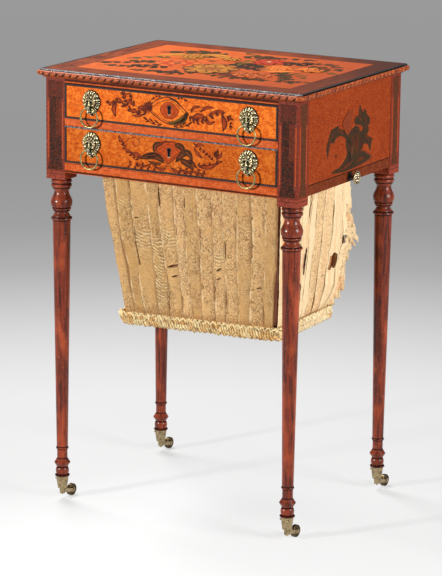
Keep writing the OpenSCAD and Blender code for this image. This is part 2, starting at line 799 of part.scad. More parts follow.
module mask() {
    difference() {
        union() {
            rotate_extrude() polygon(concat([[0, 0], [mask_r, 0]],
                [for (i = [0:CURVE_STEPS]) let (a = 90 * i / CURVE_STEPS)
                    [mask_r * cos(a), mask_rim_t + (mane_rise - mask_rim_t) * sin(a)]]));
            for (s = SIDES) translate([0, s * (mask_r - mask_lobe_in), 0])
                cylinder(r = mask_lobe_r, h = mask_rim_t);
            in_front() {
                translate(brow_place) sphere(r = brow_r);
                both_x() translate(cheek_place) sphere(r = face_cheek_r);
                both_x() translate(ear_place) sphere(r = ear_r);
                translate([0, -muzzle_drop, mouth_out]) sphere(r = muzzle_r);
            }
            translate([-jaw_w / 2, -mouth_drop, mouth_out]) rotate([0, 90, 0])
                cylinder(r = jaw_r, h = jaw_w);
            block(-jaw_w / 2, jaw_w / 2, -mouth_drop - jaw_r, 0, 0, mouth_out);
        }
        translate([-mask_r, -mouth_drop, mouth_out]) rotate([0, 90, 0])
            cylinder(r = jaw_bore_r, h = 2 * mask_r);
    }
    upright(stud_r, stud_z0, mask_rim_t);
}

// Keeps what lies in front of the drawer
module in_front() intersection() {
    union() children();
    block(-2 * mask_r, 2 * mask_r, -2 * mask_r, 2 * mask_r, 0, 2 * mask_r);
}

module nut() translate([-nut_w / 2, -nut_w / 2, -drawer_front_t - nut_t]) difference() {
    cube([nut_w, nut_w, nut_t]);
    translate([nut_w / 2, nut_w / 2, 0]) upright(stud_r + glue_gap, -CUT, nut_t + CUT);
}

module on_drawer_face(x, z) translate([x, front_y, z]) rotate([90, 0, 0]) children();

module masks(z0, h) for (s = SIDES) on_drawer_face(s * mask_x, z0 + h - mask_drop) {
    mask();
    nut();
}

module ring(s, z0, h) color(brass)
    on_drawer_face(s * mask_x, z0 + h - mask_drop - mouth_drop - ring_r) translate([0, 0, mouth_out])
        rotate_extrude() translate([ring_r, 0]) circle(r = ring_wire_r);

// Bag slide
module bag_slide_front() color(veneer) difference() {
    block(side_x0, side_x1, -slide_y1, slide_y1, slide_z0, slide_z1);
    block(bolt_x - bolt_t / 2 - bolt_gap, bolt_x + bolt_t / 2 + bolt_gap,
          -bolt_w / 2 - bolt_gap, bolt_w / 2 + bolt_gap, slide_z1 - mortice_d, slide_z1 + CUT);
    on_slide_front() translate([0, 0, -side_panel_t]) cylinder(r = knob_shank_r, h = side_panel_t + CUT);
}

module on_slide_front() translate([side_x1, 0, (slide_z0 + slide_z1) / 2]) rotate([0, 90, 0]) children();

bag_mouth_x0 = bag_x - bag_mouth_l / 2 + hem_w;
bag_mouth_x1 = bag_x + bag_mouth_l / 2 - hem_w;
bag_mouth_y = bag_mouth_w / 2 - hem_w;

module bag_slide_frame() color(oak) {
    both_y() difference() {
        block(bag_mouth_x0 - slide_end_w, side_x0, bag_mouth_y, slide_y1, slide_z0, frame_z1);
        block(bag_mouth_x0 - slide_end_w - CUT, opening_x + CUT, slide_y1 - slide_lip_w, slide_y1 + CUT,
              slide_z0 - CUT, frame_z1 - slide_lip_t);
    }
    end_y = bag_mouth_y - glue_gap;
    block(bag_mouth_x0 - slide_end_w, bag_mouth_x0, -end_y, end_y, slide_z0, frame_z1);
    block(bag_mouth_x1, side_x0, -end_y, end_y, slide_z0, frame_z1);
}

knob_head_x = knob_reach - knob_boss_h - knob_head_t;

module bag_knob() color(brass) on_slide_front() rotate_extrude() polygon(concat(
    [[0, -knob_shank_l], [knob_shank_r, -knob_shank_l], [knob_shank_r, 0],
     [knob_collar_r, 0], [knob_collar_r, knob_collar_t], [knob_shank_r, 2 * knob_collar_t],
     [knob_shank_r, knob_head_x - knob_edge], [knob_r - knob_edge, knob_head_x],
     [knob_r, knob_head_x + knob_edge], [knob_r, knob_head_x + knob_head_t - knob_edge],
     [knob_r - knob_edge, knob_head_x + knob_head_t]],
    quarter(knob_head_x + knob_head_t, knob_boss_r, knob_reach, 0)));

// Half sizes of the silk at a share t of its depth, from the top
function belly(t) = bag_belly * sin(180 * t);
function bag_half_l(t) = (bag_mouth_l + (bag_base_l - bag_mouth_l) * t) / 2 + belly(t);
function bag_half_w(t) = (bag_mouth_w + (bag_base_w - bag_mouth_w) * t) / 2 + belly(t);

// Columns of a pleated panel: [place across from -1 to 1, share of the pleat's height]
function pleat_columns(n) = concat(
    [for (i = [0:n - 1], p = PLEAT_STEPS) [(i + p[0]) * 2 / n - 1, p[1]]],
    [[1, 0]]);

// One pleated panel that faces -Y. half and out are its half width and its distance from the
// middle, at the share t of the depth.
function panel_points(cols, halves, outs, inner) =
    [for (r = [0:BAG_ROWS - 1], c = cols) let (t = r / (BAG_ROWS - 1))
        [c[0] * (halves[r] - glue_gap - (inner ? silk_t : 0)),
         -outs[r] + (inner ? silk_t : -c[1] * pleat_h), bag_z1 - t * bag_h]];

module pleated_panel(n, halves, outs) {
    cols = pleat_columns(n);
    m = len(cols);
    back = m * BAG_ROWS;
    last = BAG_ROWS - 1;
    quads = concat(
        [for (r = [0:last - 1], c = [0:m - 2])
            [r * m + c, r * m + c + 1, (r + 1) * m + c + 1, (r + 1) * m + c]],
        [for (r = [0:last - 1], c = [0:m - 2])
            [back + r * m + c + 1, back + r * m + c, back + (r + 1) * m + c, back + (r + 1) * m + c + 1]],
        [for (c = [0:m - 2]) [back + c, back + c + 1, c + 1, c]],
        [for (c = [0:m - 2]) [last * m + c, last * m + c + 1, back + last * m + c + 1, back + last * m + c]],
        [for (r = [0:last - 1]) [back + r * m, r * m, (r + 1) * m, back + (r + 1) * m]],
        [for (r = [0:last - 1]) let (e = r * m + m - 1) [e, back + e, back + e + m, e + m]]);
    polyhedron(points = concat(panel_points(cols, halves, outs, false),
                               panel_points(cols, halves, outs, true)),
               faces = [for (q = quads, k = [0, 1]) k == 0 ? [q[0], q[1], q[2]] : [q[0], q[2], q[3]]]);
}

module bag_silk() color(silk) translate([bag_x, 0, 0]) {
    shares = [for (r = [0:BAG_ROWS - 1]) r / (BAG_ROWS - 1)];
    lengths = [for (t = shares) bag_half_l(t)];
    widths = [for (t = shares) bag_half_w(t)];
    for (turn = [0, 180]) rotate([0, 0, turn]) pleated_panel(pleats_long, lengths, widths);
    for (turn = [90, -90]) rotate([0, 0, turn]) pleated_panel(pleats_short, widths, lengths);
}

module bag_bottom() color(oak)
    block(bag_x - bag_base_l / 2 + silk_t, bag_x + bag_base_l / 2 - silk_t,
          silk_t - bag_base_w / 2, bag_base_w / 2 - silk_t,
          bag_z0 + bag_board_rise, bag_z0 + bag_board_rise + bag_board_t);

// One mitred length of the braid on the -Y side
module braid_length(run, off) intersection() {
    translate([0, -off, 0]) mirror([0, 1, 0]) rotate([90, 0, 90])
        linear_extrude(2 * (run + braid_t), center = true)
            translate([0, braid_z1 - braid_h]) braid_section();
    translate([0, 0, braid_z1 - braid_h]) linear_extrude(braid_h)
        mitred_strip(run + braid_t, off + braid_t, braid_t);
}

module braid_section() {
    square([braid_t / 2, braid_h]);
    for (y = [braid_t / 2, braid_h - braid_t / 2]) translate([braid_t / 2, y]) circle(d = braid_t);
    translate([0, braid_t / 2]) square([braid_t, braid_h - braid_t]);
}

module bag_braid() color(silk) translate([bag_x, 0, 0]) {
    run = bag_half_l(1 - braid_lap / bag_h) + pleat_h + slide_gap;
    off = bag_half_w(1 - braid_lap / bag_h) + pleat_h + slide_gap;
    for (turn = [0, 180]) rotate([0, 0, turn]) braid_length(run, off);
    for (turn = [90, -90]) rotate([0, 0, turn]) braid_length(off, run);
}

// Casters
module cup() difference() {
    rotate_extrude() polygon(concat(
        [[pivot_r + running_gap, cup_rise]],
        [for (i = [0:CURVE_STEPS]) let (a = 90 * i / CURVE_STEPS)
            [cup_foot_r - cup_round + cup_round * sin(a), cup_rise + cup_round * (1 - cos(a))]],
        [[cup_top_r, cup_z1], [spigot_top_r, cup_z1], [spigot_foot_r, spigot_z0],
         [pivot_r + running_gap, spigot_z0]]));
    cup_screw_places() cylinder(r = cup_screw_r, h = 2 * cup_top_r);
}

module caster_cups() color(brass)
    for (sx = SIDES, sy = SIDES) translate(leg_place(sx, sy)) cup();

module caster_screws() color(brass)
    for (sx = SIDES, sy = SIDES) translate(leg_place(sx, sy)) cup_screw_places() {
        translate([0, 0, cup_top_r - cup_screw_l]) cylinder(r = cup_screw_r, h = cup_screw_l);
        translate([0, 0, cup_top_r]) rotate_extrude()
            intersection() {
                circle(r = cup_screw_head_r);
                square(cup_screw_head_r);
            }
    }

// Side view of a horn's arm: x towards the axle, y up
module arm_shape() difference() {
    union() {
        polygon([[0, arm_z1 - arm_root_h], [0, arm_z1], [arm_web_l, arm_z1],
                 [arm_end_x, wheel_r + arm_end_h / 2], [arm_end_x, wheel_r - arm_end_h / 2]]);
        translate([caster_trail, wheel_r]) circle(r = cheek_r);
    }
    translate([caster_trail, wheel_r]) circle(r = axle_r + running_gap);
}

module on_caster(sx, sy) translate(leg_place(sx, sy)) rotate([0, 0, caster_turn]) children();

module horn(sx, sy) color(brass) on_caster(sx, sy) {
    difference() {
        union() {
            upright(hub_r, hub_z0, hub_z1);
            upright(pivot_r, hub_z0, pivot_z1);
            rotate_extrude() polygon([[0, hub_z0 - hub_tip_h], [hub_tip_r, hub_z0], [0, hub_z0]]);
            for (s = SIDES) translate([0, s * (horn_half_w - cheek_t / 2), 0]) rotate([90, 0, 0])
                linear_extrude(cheek_t, center = true) arm_shape();
            block(0, arm_web_l, -horn_half_w, horn_half_w, arm_z1 - arm_root_h, arm_z1);
        }
        on_axle() cylinder(r = wheel_r + wheel_room, h = wheel_w + 2 * cheek_gap, center = true);
    }
    on_axle() axle();
}

module on_axle() translate([caster_trail, 0, wheel_r]) rotate([90, 0, 0]) children();

module axle() {
    head_x = horn_half_w + glue_gap;
    cylinder(r = axle_r, h = 2 * head_x, center = true);
    for (s = SIDES) translate([0, 0, s * (head_x + axle_head_t / 2)])
        cylinder(r = axle_head_r, h = axle_head_t, center = true);
}

// Section of a wheel, from one face to the other
function wheel_side() = [
    [axle_r + running_gap, wheel_w / 2], [wheel_hub_r, wheel_w / 2],
    [wheel_hub_r + wheel_edge, wheel_w / 2 - wheel_dish],
    [wheel_r - wheel_rim_w - wheel_edge, wheel_w / 2 - wheel_dish], [wheel_r - wheel_rim_w, wheel_w / 2],
    [wheel_r - wheel_edge, wheel_w / 2], [wheel_r, wheel_w / 2 - wheel_edge]];

module wheel(sx, sy) color(brass) on_caster(sx, sy) on_axle() rotate_extrude() {
    side = wheel_side();
    polygon(concat(side, [for (i = [len(side) - 1:-1:0]) [side[i][0], -side[i][1]]]));
}

// Every sub-part
top_board();
top_field();
top_crossband();
top_edge_bead();
top_rope_moulding();
leg(-1, -1);  // leg_front_left
leg(1, -1);  // leg_front_right
leg(-1, 1);  // leg_back_left
leg(1, 1);  // leg_back_right
side_panel_left();
side_panel_right();
back_panel();
front_top_rail();
front_middle_rail();
front_bottom_rail();
drawer_runners();
kicker_strips();
drawer_stops();
bag_runners();
caster_cups();
caster_screws();
side_lock();
side_escutcheon();
color(satinwood) drawer_front(upper_z0, upper_opening_h);  // upper_drawer_front
color(oak) drawer_sides(upper_z0, upper_opening_h);  // upper_drawer_sides
color(oak) drawer_back(upper_z0, upper_opening_h);  // upper_drawer_back
color(oak) drawer_bottom_slab(upper_z0);  // upper_drawer_bottom
color(ebony) drawer_beading(upper_z0, upper_opening_h);  // upper_drawer_beading
color(brass) masks(upper_z0, upper_opening_h);  // upper_masks
color(brass) on_drawer_lock(upper_z0, upper_opening_h) lock_case();  // upper_lock
color(brass) on_drawer_lock(upper_z0, upper_opening_h) escutcheon(drawer_front_t);  // upper_escutcheon
color(brass) on_drawer_lock(upper_z0, upper_opening_h) lock_bolt();  // upper_lock_bolt
ring(-1, upper_z0, upper_opening_h);  // upper_left_ring
ring(1, upper_z0, upper_opening_h);  // upper_right_ring
color(satinwood) drawer_front(lower_z0, lower_opening_h);  // lower_drawer_front
color(oak) drawer_sides(lower_z0, lower_opening_h);  // lower_drawer_sides
color(oak) drawer_back(lower_z0, lower_opening_h);  // lower_drawer_back
color(oak) drawer_bottom_slab(lower_z0);  // lower_drawer_bottom
color(ebony) drawer_beading(lower_z0, lower_opening_h);  // lower_drawer_beading
color(brass) masks(lower_z0, lower_opening_h);  // lower_masks
color(brass) on_drawer_lock(lower_z0, lower_opening_h) lock_case();  // lower_lock
color(brass) on_drawer_lock(lower_z0, lower_opening_h) escutcheon(drawer_front_t);  // lower_escutcheon
color(brass) on_drawer_lock(lower_z0, lower_opening_h) lock_bolt();  // lower_lock_bolt
ring(-1, lower_z0, lower_opening_h);  // lower_left_ring
ring(1, lower_z0, lower_opening_h);  // lower_right_ring
bag_slide_front();
bag_slide_frame();
bag_knob();
bag_silk();
bag_bottom();
bag_braid();
side_lock_bolt();
horn(-1, -1);  // horn_front_left
horn(1, -1);  // horn_front_right
horn(-1, 1);  // horn_back_left
horn(1, 1);  // horn_back_right
wheel(-1, -1);  // wheel_front_left
wheel(1, -1);  // wheel_front_right
wheel(-1, 1);  // wheel_back_left
wheel(1, 1);  // wheel_back_right
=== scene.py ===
import math

import bmesh
import bpy
from mathutils import Matrix, Vector, geometry, noise


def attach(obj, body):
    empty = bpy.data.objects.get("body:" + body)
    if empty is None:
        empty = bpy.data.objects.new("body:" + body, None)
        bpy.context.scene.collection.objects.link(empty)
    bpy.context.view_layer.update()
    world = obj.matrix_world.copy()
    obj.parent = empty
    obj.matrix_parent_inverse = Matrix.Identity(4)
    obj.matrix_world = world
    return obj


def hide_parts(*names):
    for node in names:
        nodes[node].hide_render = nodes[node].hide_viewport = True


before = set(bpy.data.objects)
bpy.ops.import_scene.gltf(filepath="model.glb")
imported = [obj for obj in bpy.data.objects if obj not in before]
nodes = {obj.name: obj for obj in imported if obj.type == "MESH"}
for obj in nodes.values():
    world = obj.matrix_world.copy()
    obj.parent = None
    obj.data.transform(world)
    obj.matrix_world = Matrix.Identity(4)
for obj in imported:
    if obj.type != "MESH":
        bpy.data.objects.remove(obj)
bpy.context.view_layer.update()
mm = 0.001
# the frame's faces that the finish is laid on, in millimetres from the middle or the floor
table = {
    "top": 738,
    "front": 181,
    "side": 233.5,
    "legSide": 234,
    "field": (200, 147),    # half sizes of the satinwood in the top
}
print("frame loaded:", len(nodes), "nodes")


# Camera and studio

cameraSettings = {
    "place": (2.2735, -4.0381, 1.4664),
    "turn": 29.4187,        # degrees to the left of straight back
    "tilt": -13.4127,       # degrees, downwards
    "roll": 0.611,
    "lens": 177.35,         # with 36 mm over the height of the picture
    "frameHeight": 36,
}


def addCamera():
    lens = bpy.data.cameras.new("camera")
    lens.sensor_fit = "VERTICAL"
    lens.sensor_height = cameraSettings["frameHeight"]
    lens.lens = cameraSettings["lens"]
    camera = bpy.data.objects.new("camera", lens)
    turned = Matrix.Rotation(math.radians(cameraSettings["turn"]), 4, "Z")
    tilted = Matrix.Rotation(math.radians(90 + cameraSettings["tilt"]), 4, "X")
    rolled = Matrix.Rotation(math.radians(cameraSettings["roll"]), 4, "Z")
    camera.matrix_world = Matrix.Translation(cameraSettings["place"]) @ turned @ tilted @ rolled
    bpy.context.scene.collection.objects.link(camera)
    bpy.context.scene.camera = camera


addCamera()
bpy.context.scene.view_settings.view_transform = "Standard"


# Shader writing

class Wire:                                        # a socket that takes part in plain sums
    def __init__(self, paint, socket):
        self.paint = paint
        self.socket = socket

    def sum(self, operation, first, second=0.0):
        return self.paint.node("ShaderNodeMath", {"operation": operation}, {0: first, 1: second})

    def __add__(self, other):
        return self.sum("ADD", self, other)

    def __radd__(self, other):
        return self.sum("ADD", other, self)

    def __sub__(self, other):
        return self.sum("SUBTRACT", self, other)

    def __rsub__(self, other):
        return self.sum("SUBTRACT", other, self)

    def __mul__(self, other):
        return self.sum("MULTIPLY", self, other)

    def __rmul__(self, other):
        return self.sum("MULTIPLY", other, self)

    def __truediv__(self, other):
        return self.sum("DIVIDE", self, other)

    def __gt__(self, other):
        return self.sum("GREATER_THAN", self, other)

    def __lt__(self, other):
        return self.sum("LESS_THAN", self, other)

    def __abs__(self):
        return self.sum("ABSOLUTE", self)

    def sine(self):
        return self.sum("SINE", self)

    def most(self, other):
        return self.sum("MAXIMUM", self, other)

    def least(self, other):
        return self.sum("MINIMUM", self, other)

    def between(self, low, high):                  # a soft step from 0 at low to 1 at high
        return self.paint.node("ShaderNodeMapRange", {"interpolation_type": "SMOOTHSTEP"},
                               {"Value": self, "From Min": low, "From Max": high})


class Paint:                                       # a material or a world, and its nodes
    def __init__(self, name, owner=None, output="ShaderNodeOutputMaterial"):
        self.owner = owner or bpy.data.materials.new(name)
        self.owner.use_nodes = True
        self.tree = self.owner.node_tree
        self.tree.nodes.clear()
        self.output = self.tree.nodes.new(output)

    def node(self, kind, settings=None, sockets=None, out=0):
        made = self.tree.nodes.new(kind)
        for name, value in (settings or {}).items():
            if name == "stops":
                self.setStops(made.color_ramp, value)
            else:
                setattr(made, name, value)
        for name, value in (sockets or {}).items():
            socket = made.inputs[name]
            if isinstance(value, Wire):
                self.tree.links.new(value.socket, socket)
            elif socket.type == "RGBA" and len(value) == 3:
                socket.default_value = (*value, 1)
            else:
                socket.default_value = value
        return Wire(self, made.outputs[out])

    def setStops(self, ramp, stops):
        while len(ramp.elements) < len(stops):
            ramp.elements.new(1)
        for element, (place, colour) in zip(ramp.elements, stops):
            element.position = place
            element.color = (*colour, 1)

    def place(self):                               # the point on the piece, in millimetres
        spot = self.node("ShaderNodeTexCoord", None, None, "Object")
        return self.node("ShaderNodeVectorMath", {"operation": "SCALE"}, {0: spot, "Scale": 1000})

    def parts(self, vector):
        first = self.node("ShaderNodeSeparateXYZ", None, {0: vector})
        return [Wire(self, socket) for socket in first.socket.node.outputs]

    def joined(self, x, y, z):
        return self.node("ShaderNodeCombineXYZ", None, {0: x, 1: y, 2: z})

    def stretched(self, vector, x, y, z):
        return self.node("ShaderNodeVectorMath", {"operation": "MULTIPLY"}, {0: vector, 1: (x, y, z)})

    def cloud(self, vector, size, detail=2.0, rough=0.5, warp=0.0):     # size of a patch, in mm
        return self.node("ShaderNodeTexNoise", None,
                         {"Vector": vector, "Scale": 1 / size, "Detail": detail,
                          "Roughness": rough, "Distortion": warp})

    def mix(self, factor, first, second):
        return self.node("ShaderNodeMix", {"data_type": "RGBA"}, {0: factor, 6: first, 7: second}, 2)

    def over(self, colour, *coats):                # each coat is a share and the colour laid on by it
        for share, coat in coats:
            colour = self.mix(share, colour, coat)
        return colour

    def times(self, colour, factor):               # a colour made darker or lighter
        grey = self.joined(factor, factor, factor)
        return self.node("ShaderNodeMix", {"data_type": "RGBA", "blend_type": "MULTIPLY"},
                         {0: 1.0, 6: colour, 7: grey}, 2)

    def own(self, name, out="Fac"):                # an attribute of the piece
        return self.node("ShaderNodeAttribute", {"attribute_name": name}, None, out)

    def bump(self, height, depth, strength=1.0):   # depth in millimetres
        return self.node("ShaderNodeBump", None,
                         {"Height": height, "Distance": depth * mm, "Strength": strength})

    def show(self, shader):
        self.tree.links.new(shader.socket, self.output.inputs["Surface"])
        return self.owner

    def solid(self, sockets):
        return self.show(self.node("ShaderNodeBsdfPrincipled", None, sockets))


studio = {
    "floorReach": 14,
    # the paper's brightness by the distance from a spot in front of the table
    "brightSpot": (0.28, -0.42, 0),
    "fade": ((0.0, 0.99), (0.33, 0.96), (0.47, 0.87), (0.67, 0.775), (0.95, 0.76), (1.16, 0.755),
             (1.39, 0.71), (1.65, 0.635), (1.94, 0.54), (2.25, 0.44), (2.72, 0.382), (3.53, 0.386),
             (4.64, 0.416), (7.75, 0.44)),
    "shadowShare": 0.3,     # how much of the floor's own light and shade shows
    "sky": (0.345, 0.345, 0.345),
    "skyLight": 0.12,
    "bounce": 0.40,         # how much of its white the floor gives back to the table
    "lamps": {
        # name: place, aim, size, power
        "leftSpot": ((-1.6, -2.85, 1.15), (0, 0, 0.55), 0.30, 100),
        "rightSoftbox": ((3.0, -0.3, 1.2), (0, 0, 0.45), 1.2, 94),
        "topSoftbox": ((-1.1, 0.5, 2.3), (-0.1, 0, 0.7), 0.9, 60),
    },
}


def seenDirectly(paint):                           # 1 for what the camera sees, also in metal or glass
    seen = paint.node("ShaderNodeLightPath", None, None, "Is Camera Ray")
    for ray in ("Is Glossy Ray", "Is Transmission Ray"):
        seen = seen.most(paint.node("ShaderNodeLightPath", None, None, ray))
    return seen


def paintFloor():
    paint = Paint("floorPaper")
    spot = paint.node("ShaderNodeTexCoord", None, None, "Object")
    away = paint.node("ShaderNodeVectorMath", {"operation": "DISTANCE"},
                      {0: spot, 1: studio["brightSpot"]}, "Value")
    far = studio["fade"][-1][0]
    stops = [(distance / far, (level, level, level)) for distance, level in studio["fade"]]
    tone = paint.node("ShaderNodeValToRGB", {"stops": stops}, {0: away / far})
    seen = seenDirectly(paint)
    dimmed = paint.times(tone, seen * (1 - studio["bounce"]) + studio["bounce"])
    paper = paint.node("ShaderNodeBsdfDiffuse", None, {"Color": dimmed})
    glow = paint.node("ShaderNodeEmission", None, {"Color": tone})
    share = seen * (1 - studio["shadowShare"])
    return paint.show(paint.node("ShaderNodeMixShader", None, {0: share, 1: paper, 2: glow}))


def addFloor():
    form = bmesh.new()
    bmesh.ops.create_circle(form, cap_ends=True, segments=96, radius=studio["floorReach"])
    mesh = bpy.data.meshes.new("floor")
    form.to_mesh(mesh)
    form.free()
    mesh.materials.append(paintFloor())
    floor = bpy.data.objects.new("floor", mesh)
    bpy.context.scene.collection.objects.link(floor)


def addWorld():
    world = bpy.data.worlds.new("studio")
    bpy.context.scene.world = world
    paint = Paint("studio", world, "ShaderNodeOutputWorld")
    seen = paint.node("ShaderNodeBackground", None, {"Color": studio["sky"]})
    light = paint.node("ShaderNodeBackground", None, {"Color": (1, 1, 1), "Strength": studio["skyLight"]})
    paint.show(paint.node("ShaderNodeMixShader", None, {0: seenDirectly(paint), 1: light, 2: seen}))


def addLamps():
    for name, (place, aim, size, power) in studio["lamps"].items():
        light = bpy.data.lights.new(name, "AREA")
        light.size = size
        light.energy = power
        lamp = bpy.data.objects.new(name, light)
        lamp.location = place
        lamp.rotation_euler = (Vector(aim) - Vector(place)).to_track_quat("-Z", "Y").to_euler()
        bpy.context.scene.collection.objects.link(lamp)


addFloor()
addWorld()
addLamps()
print("studio ready")


# Finishes

mahogany = {
    "deep": (0.045, 0.008, 0.004),
    "body": (0.26, 0.034, 0.010),
    "glow": (0.50, 0.085, 0.024),
    "worn": (0.66, 0.27, 0.15),
    "grooveDirtAndShade": (0.008, 0.003, 0.002),
    "blockFrom": 555.5,             # the square block stands over the turning
    "block": ((0.27, 0.032, 0.009), (0.09, 0.011, 0.005)),
    "footTo": 569,                  # a rubbed band under the pilasters
    "foot": (0.36, 0.058, 0.026),
    # heights of the grooves of the turning, dark with old polish and with painted shade
    "grooves": (553.9, 546.1, 538.9, 505.4, 500.6, 489.2, 484.0, 92.5, 88.5, 73, 57, 44, 41.5),
}


def paintMahogany():
    paint = Paint("polishedMahogany")
    place = paint.place()
    z = paint.parts(place)[2]
    grain = paint.cloud(paint.stretched(place, 1, 1, 0.07), 4.2, 5, 0.62, 0.4)
    pores = paint.cloud(paint.stretched(place, 1, 1, 0.05), 0.9, 2)
    blotch = paint.cloud(paint.stretched(place, 1, 1, 0.4), 22, 2)
    crackle = paint.cloud(place, 2.0, 4, 0.8)
    scuff = paint.cloud(place, 3.4, 5, 0.8)
    turning = paint.over(
        paint.mix(grain.between(0.34, 0.66), mahogany["deep"], mahogany["body"]),
        (blotch.between(0.45, 0.8) * 0.8, mahogany["glow"]),
        (pores.between(0.56, 0.7) * 0.45, mahogany["deep"]))
    veneer = paint.over(
        paint.mix(crackle.between(0.42, 0.60), *mahogany["block"]),
        ((z < mahogany["footTo"]) * crackle.between(0.62, 0.46) * 0.8, mahogany["foot"]),
        (pores.between(0.58, 0.70) * 0.6, mahogany["deep"]))
    block = z > mahogany["blockFrom"]
    near = 9.0                                     # distance from the nearest groove, 9 mm at most
    for height in mahogany["grooves"]:
        near = abs(z - height).least(near)
    # painted shade and old polish: darker near each groove
    grooveDirtAndShade = 1 - near.between(0.2, 1.9)
    colour = paint.over(
        turning,
        (block, veneer),
        (grooveDirtAndShade * 0.95, mahogany["grooveDirtAndShade"]),
        (scuff.between(0.56, 0.66) * 0.5, mahogany["deep"]),
        (scuff.between(0.40, 0.34) * 0.4, mahogany["worn"]))
    return paint.solid({
        "Base Color": colour,
        "Specular IOR Level": 0.12,
        "Roughness": 0.3 + 0.16 * blotch + 0.3 * grooveDirtAndShade,
        "Coat Weight": (0.40 - 0.36 * grooveDirtAndShade) * (1 - 0.7 * block),
        "Coat Roughness": 0.2,
        "Normal": paint.bump(grain + pores * 0.5 + scuff * 1.5, 0.2, 0.5),
    })


# along is how the grain is drawn out in x, y and z, and mottle how strong the cross figure is
veneers = {
    "drawer": {
        "name": "satinwoodFront",
        "body": (0.66, 0.105, 0.007), "light": (0.96, 0.26, 0.030), "dark": (0.27, 0.026, 0.006),
        "along": (0.16, 1, 1), "mottle": 0.85,
        "keyholes": (690, 621),
        "core": ((0.42, 0.24, 0.11), (0.30, 0.15, 0.06)),
        "coreFrom": -177,           # behind it the front is plain wood
        "lowerTo": 651,             # under it is the lower drawer, coloured darker
        "lowerDarkening": 0.25,
    },
    "field": {
        "name": "satinwoodField",
        "body": (0.60, 0.096, 0.010), "light": (0.80, 0.185, 0.026), "dark": (0.26, 0.026, 0.006),
        "along": (0.12, 1, 1), "mottle": 0.5,
        "paintedShadeRight": 0.46,              # how much darker the right side is painted, as painted shade
    },
    "rail": {
        "name": "satinwoodRail",
        "body": (0.58, 0.092, 0.016), "light": (0.84, 0.19, 0.055), "dark": (0.22, 0.028, 0.009),
        "along": (0.12, 1, 1), "mottle": 0.6,
        # painted shade under the top's moulding, over the upper drawer's opening and along the bottom rail's
        # foot: low, high, share
        "paintedShadeLines": ((719.6, 724.5, 0.90), (715.2, 717.2, 0.92), (569, 571.8, 0.8)),
    },
    "side": {
        "name": "redSatinwood",
        "body": (0.305, 0.040, 0.006), "light": (0.52, 0.100, 0.020), "dark": (0.12, 0.014, 0.005),
        "along": (1, 0.2, 1), "mottle": 0.45,
        "hatch": 0.7,               # how clearly the curl of the wood shows
    },
    "slide": {
        "name": "redSatinwoodSlide",
        "body": (0.140, 0.023, 0.006), "light": (0.24, 0.057, 0.018), "dark": (0.08, 0.014, 0.006),
        "along": (1, 0.12, 1), "mottle": 0.7,
    },
}
# black used for painted shade
shadowBlack = (0.010, 0.004, 0.003)


def paintVeneer(wood):
    # satinwood: fine grain along one axis, with lively cross figure
    paint = Paint(wood["name"])
    place = paint.place()
    x, y, z = paint.parts(place)
    light, dark = wood["light"], wood["dark"]
    grain = paint.cloud(paint.stretched(place, *wood["along"]), 1.5, 4, 0.6)
    figure = paint.cloud(place, 9, 3, 0.6, 1.2)
    drift = paint.cloud(place, 46, 2)
    speck = paint.cloud(place, 2.4, 4, 0.8)
    colour = paint.over(
        wood["body"],
        (figure.between(0.38, 0.68) * wood["mottle"], light),
        (grain.between(0.5, 0.68) * 0.55, dark),
        (drift.between(0.5, 0.75) * 0.35, light),
        (speck.between(0.54, 0.64) * 0.62, dark),
        (speck.between(0.43, 0.34) * 0.6, light))
    relief = grain + figure
    # painted shade: the field grows darker towards the right
    if "paintedShadeRight" in wood:
        colour = paint.mix(x.between(-150, 210) * wood["paintedShadeRight"], colour, dark)
    # painted shadow: the walls inside each keyhole are black
    for level in wood.get("keyholes", ()):         # black inside the keyholes
        near = (abs(x).most(abs(z - level) - 6) < 4) * (y > 0.3 - table["front"])
        colour = paint.mix(near, colour, (0.004, 0.003, 0.003))
    if "hatch" in wood:
        hatch = wood["hatch"]
        rising = ((y * 0.5 - z) * 1.5 + figure * 13 + speck * 6).sine()
        falling = ((y * 0.5 + z) * 1.35 + drift * 9 + figure * 11 + speck * 6).sine()
        crest = rising.most(falling)
        colour = paint.over(
            colour,
            (crest.between(0.66, 0.98) * speck.between(0.52, 0.42) * hatch, light),
            (rising.least(falling).between(-0.3, -0.9) * hatch * 0.8, dark))
        relief = relief + crest * 0.6
    if "core" in wood:
        colour = paint.mix(y > wood["coreFrom"], colour, paint.mix(grain, *wood["core"]))
        # the lower drawer is darker, more so to the right, and the upper a little lighter to the right
        across = x.between(-60, 120)
        lower = z < wood["lowerTo"]
        colour = paint.times(colour, 1.08 + 0.05 * across - lower * (wood["lowerDarkening"] + 0.08 * across))
    # painted shade lines along the rails
    for low, high, share in wood.get("paintedShadeLines", ()):
        line = z.between(low - 0.5, low) * z.between(high + 0.5, high)
        colour = paint.mix(line * share, colour, shadowBlack)
    return paint.solid({
        "Base Color": colour,
        "Specular IOR Level": 0.045,
        "Roughness": 0.3 + 0.14 * speck,
        "Normal": paint.bump(relief, 0.1, 0.35),
    })


crossband = {
    "streak": ((0.050, 0.010, 0.004), (0.29, 0.056, 0.016)),
    "blotch": (0.31, 0.062, 0.017),
    "speck": (0.03, 0.01, 0.008),
    "right": (0.12, 0.026, 0.010),
    "backRight": (0.035, 0.010, 0.006),
}


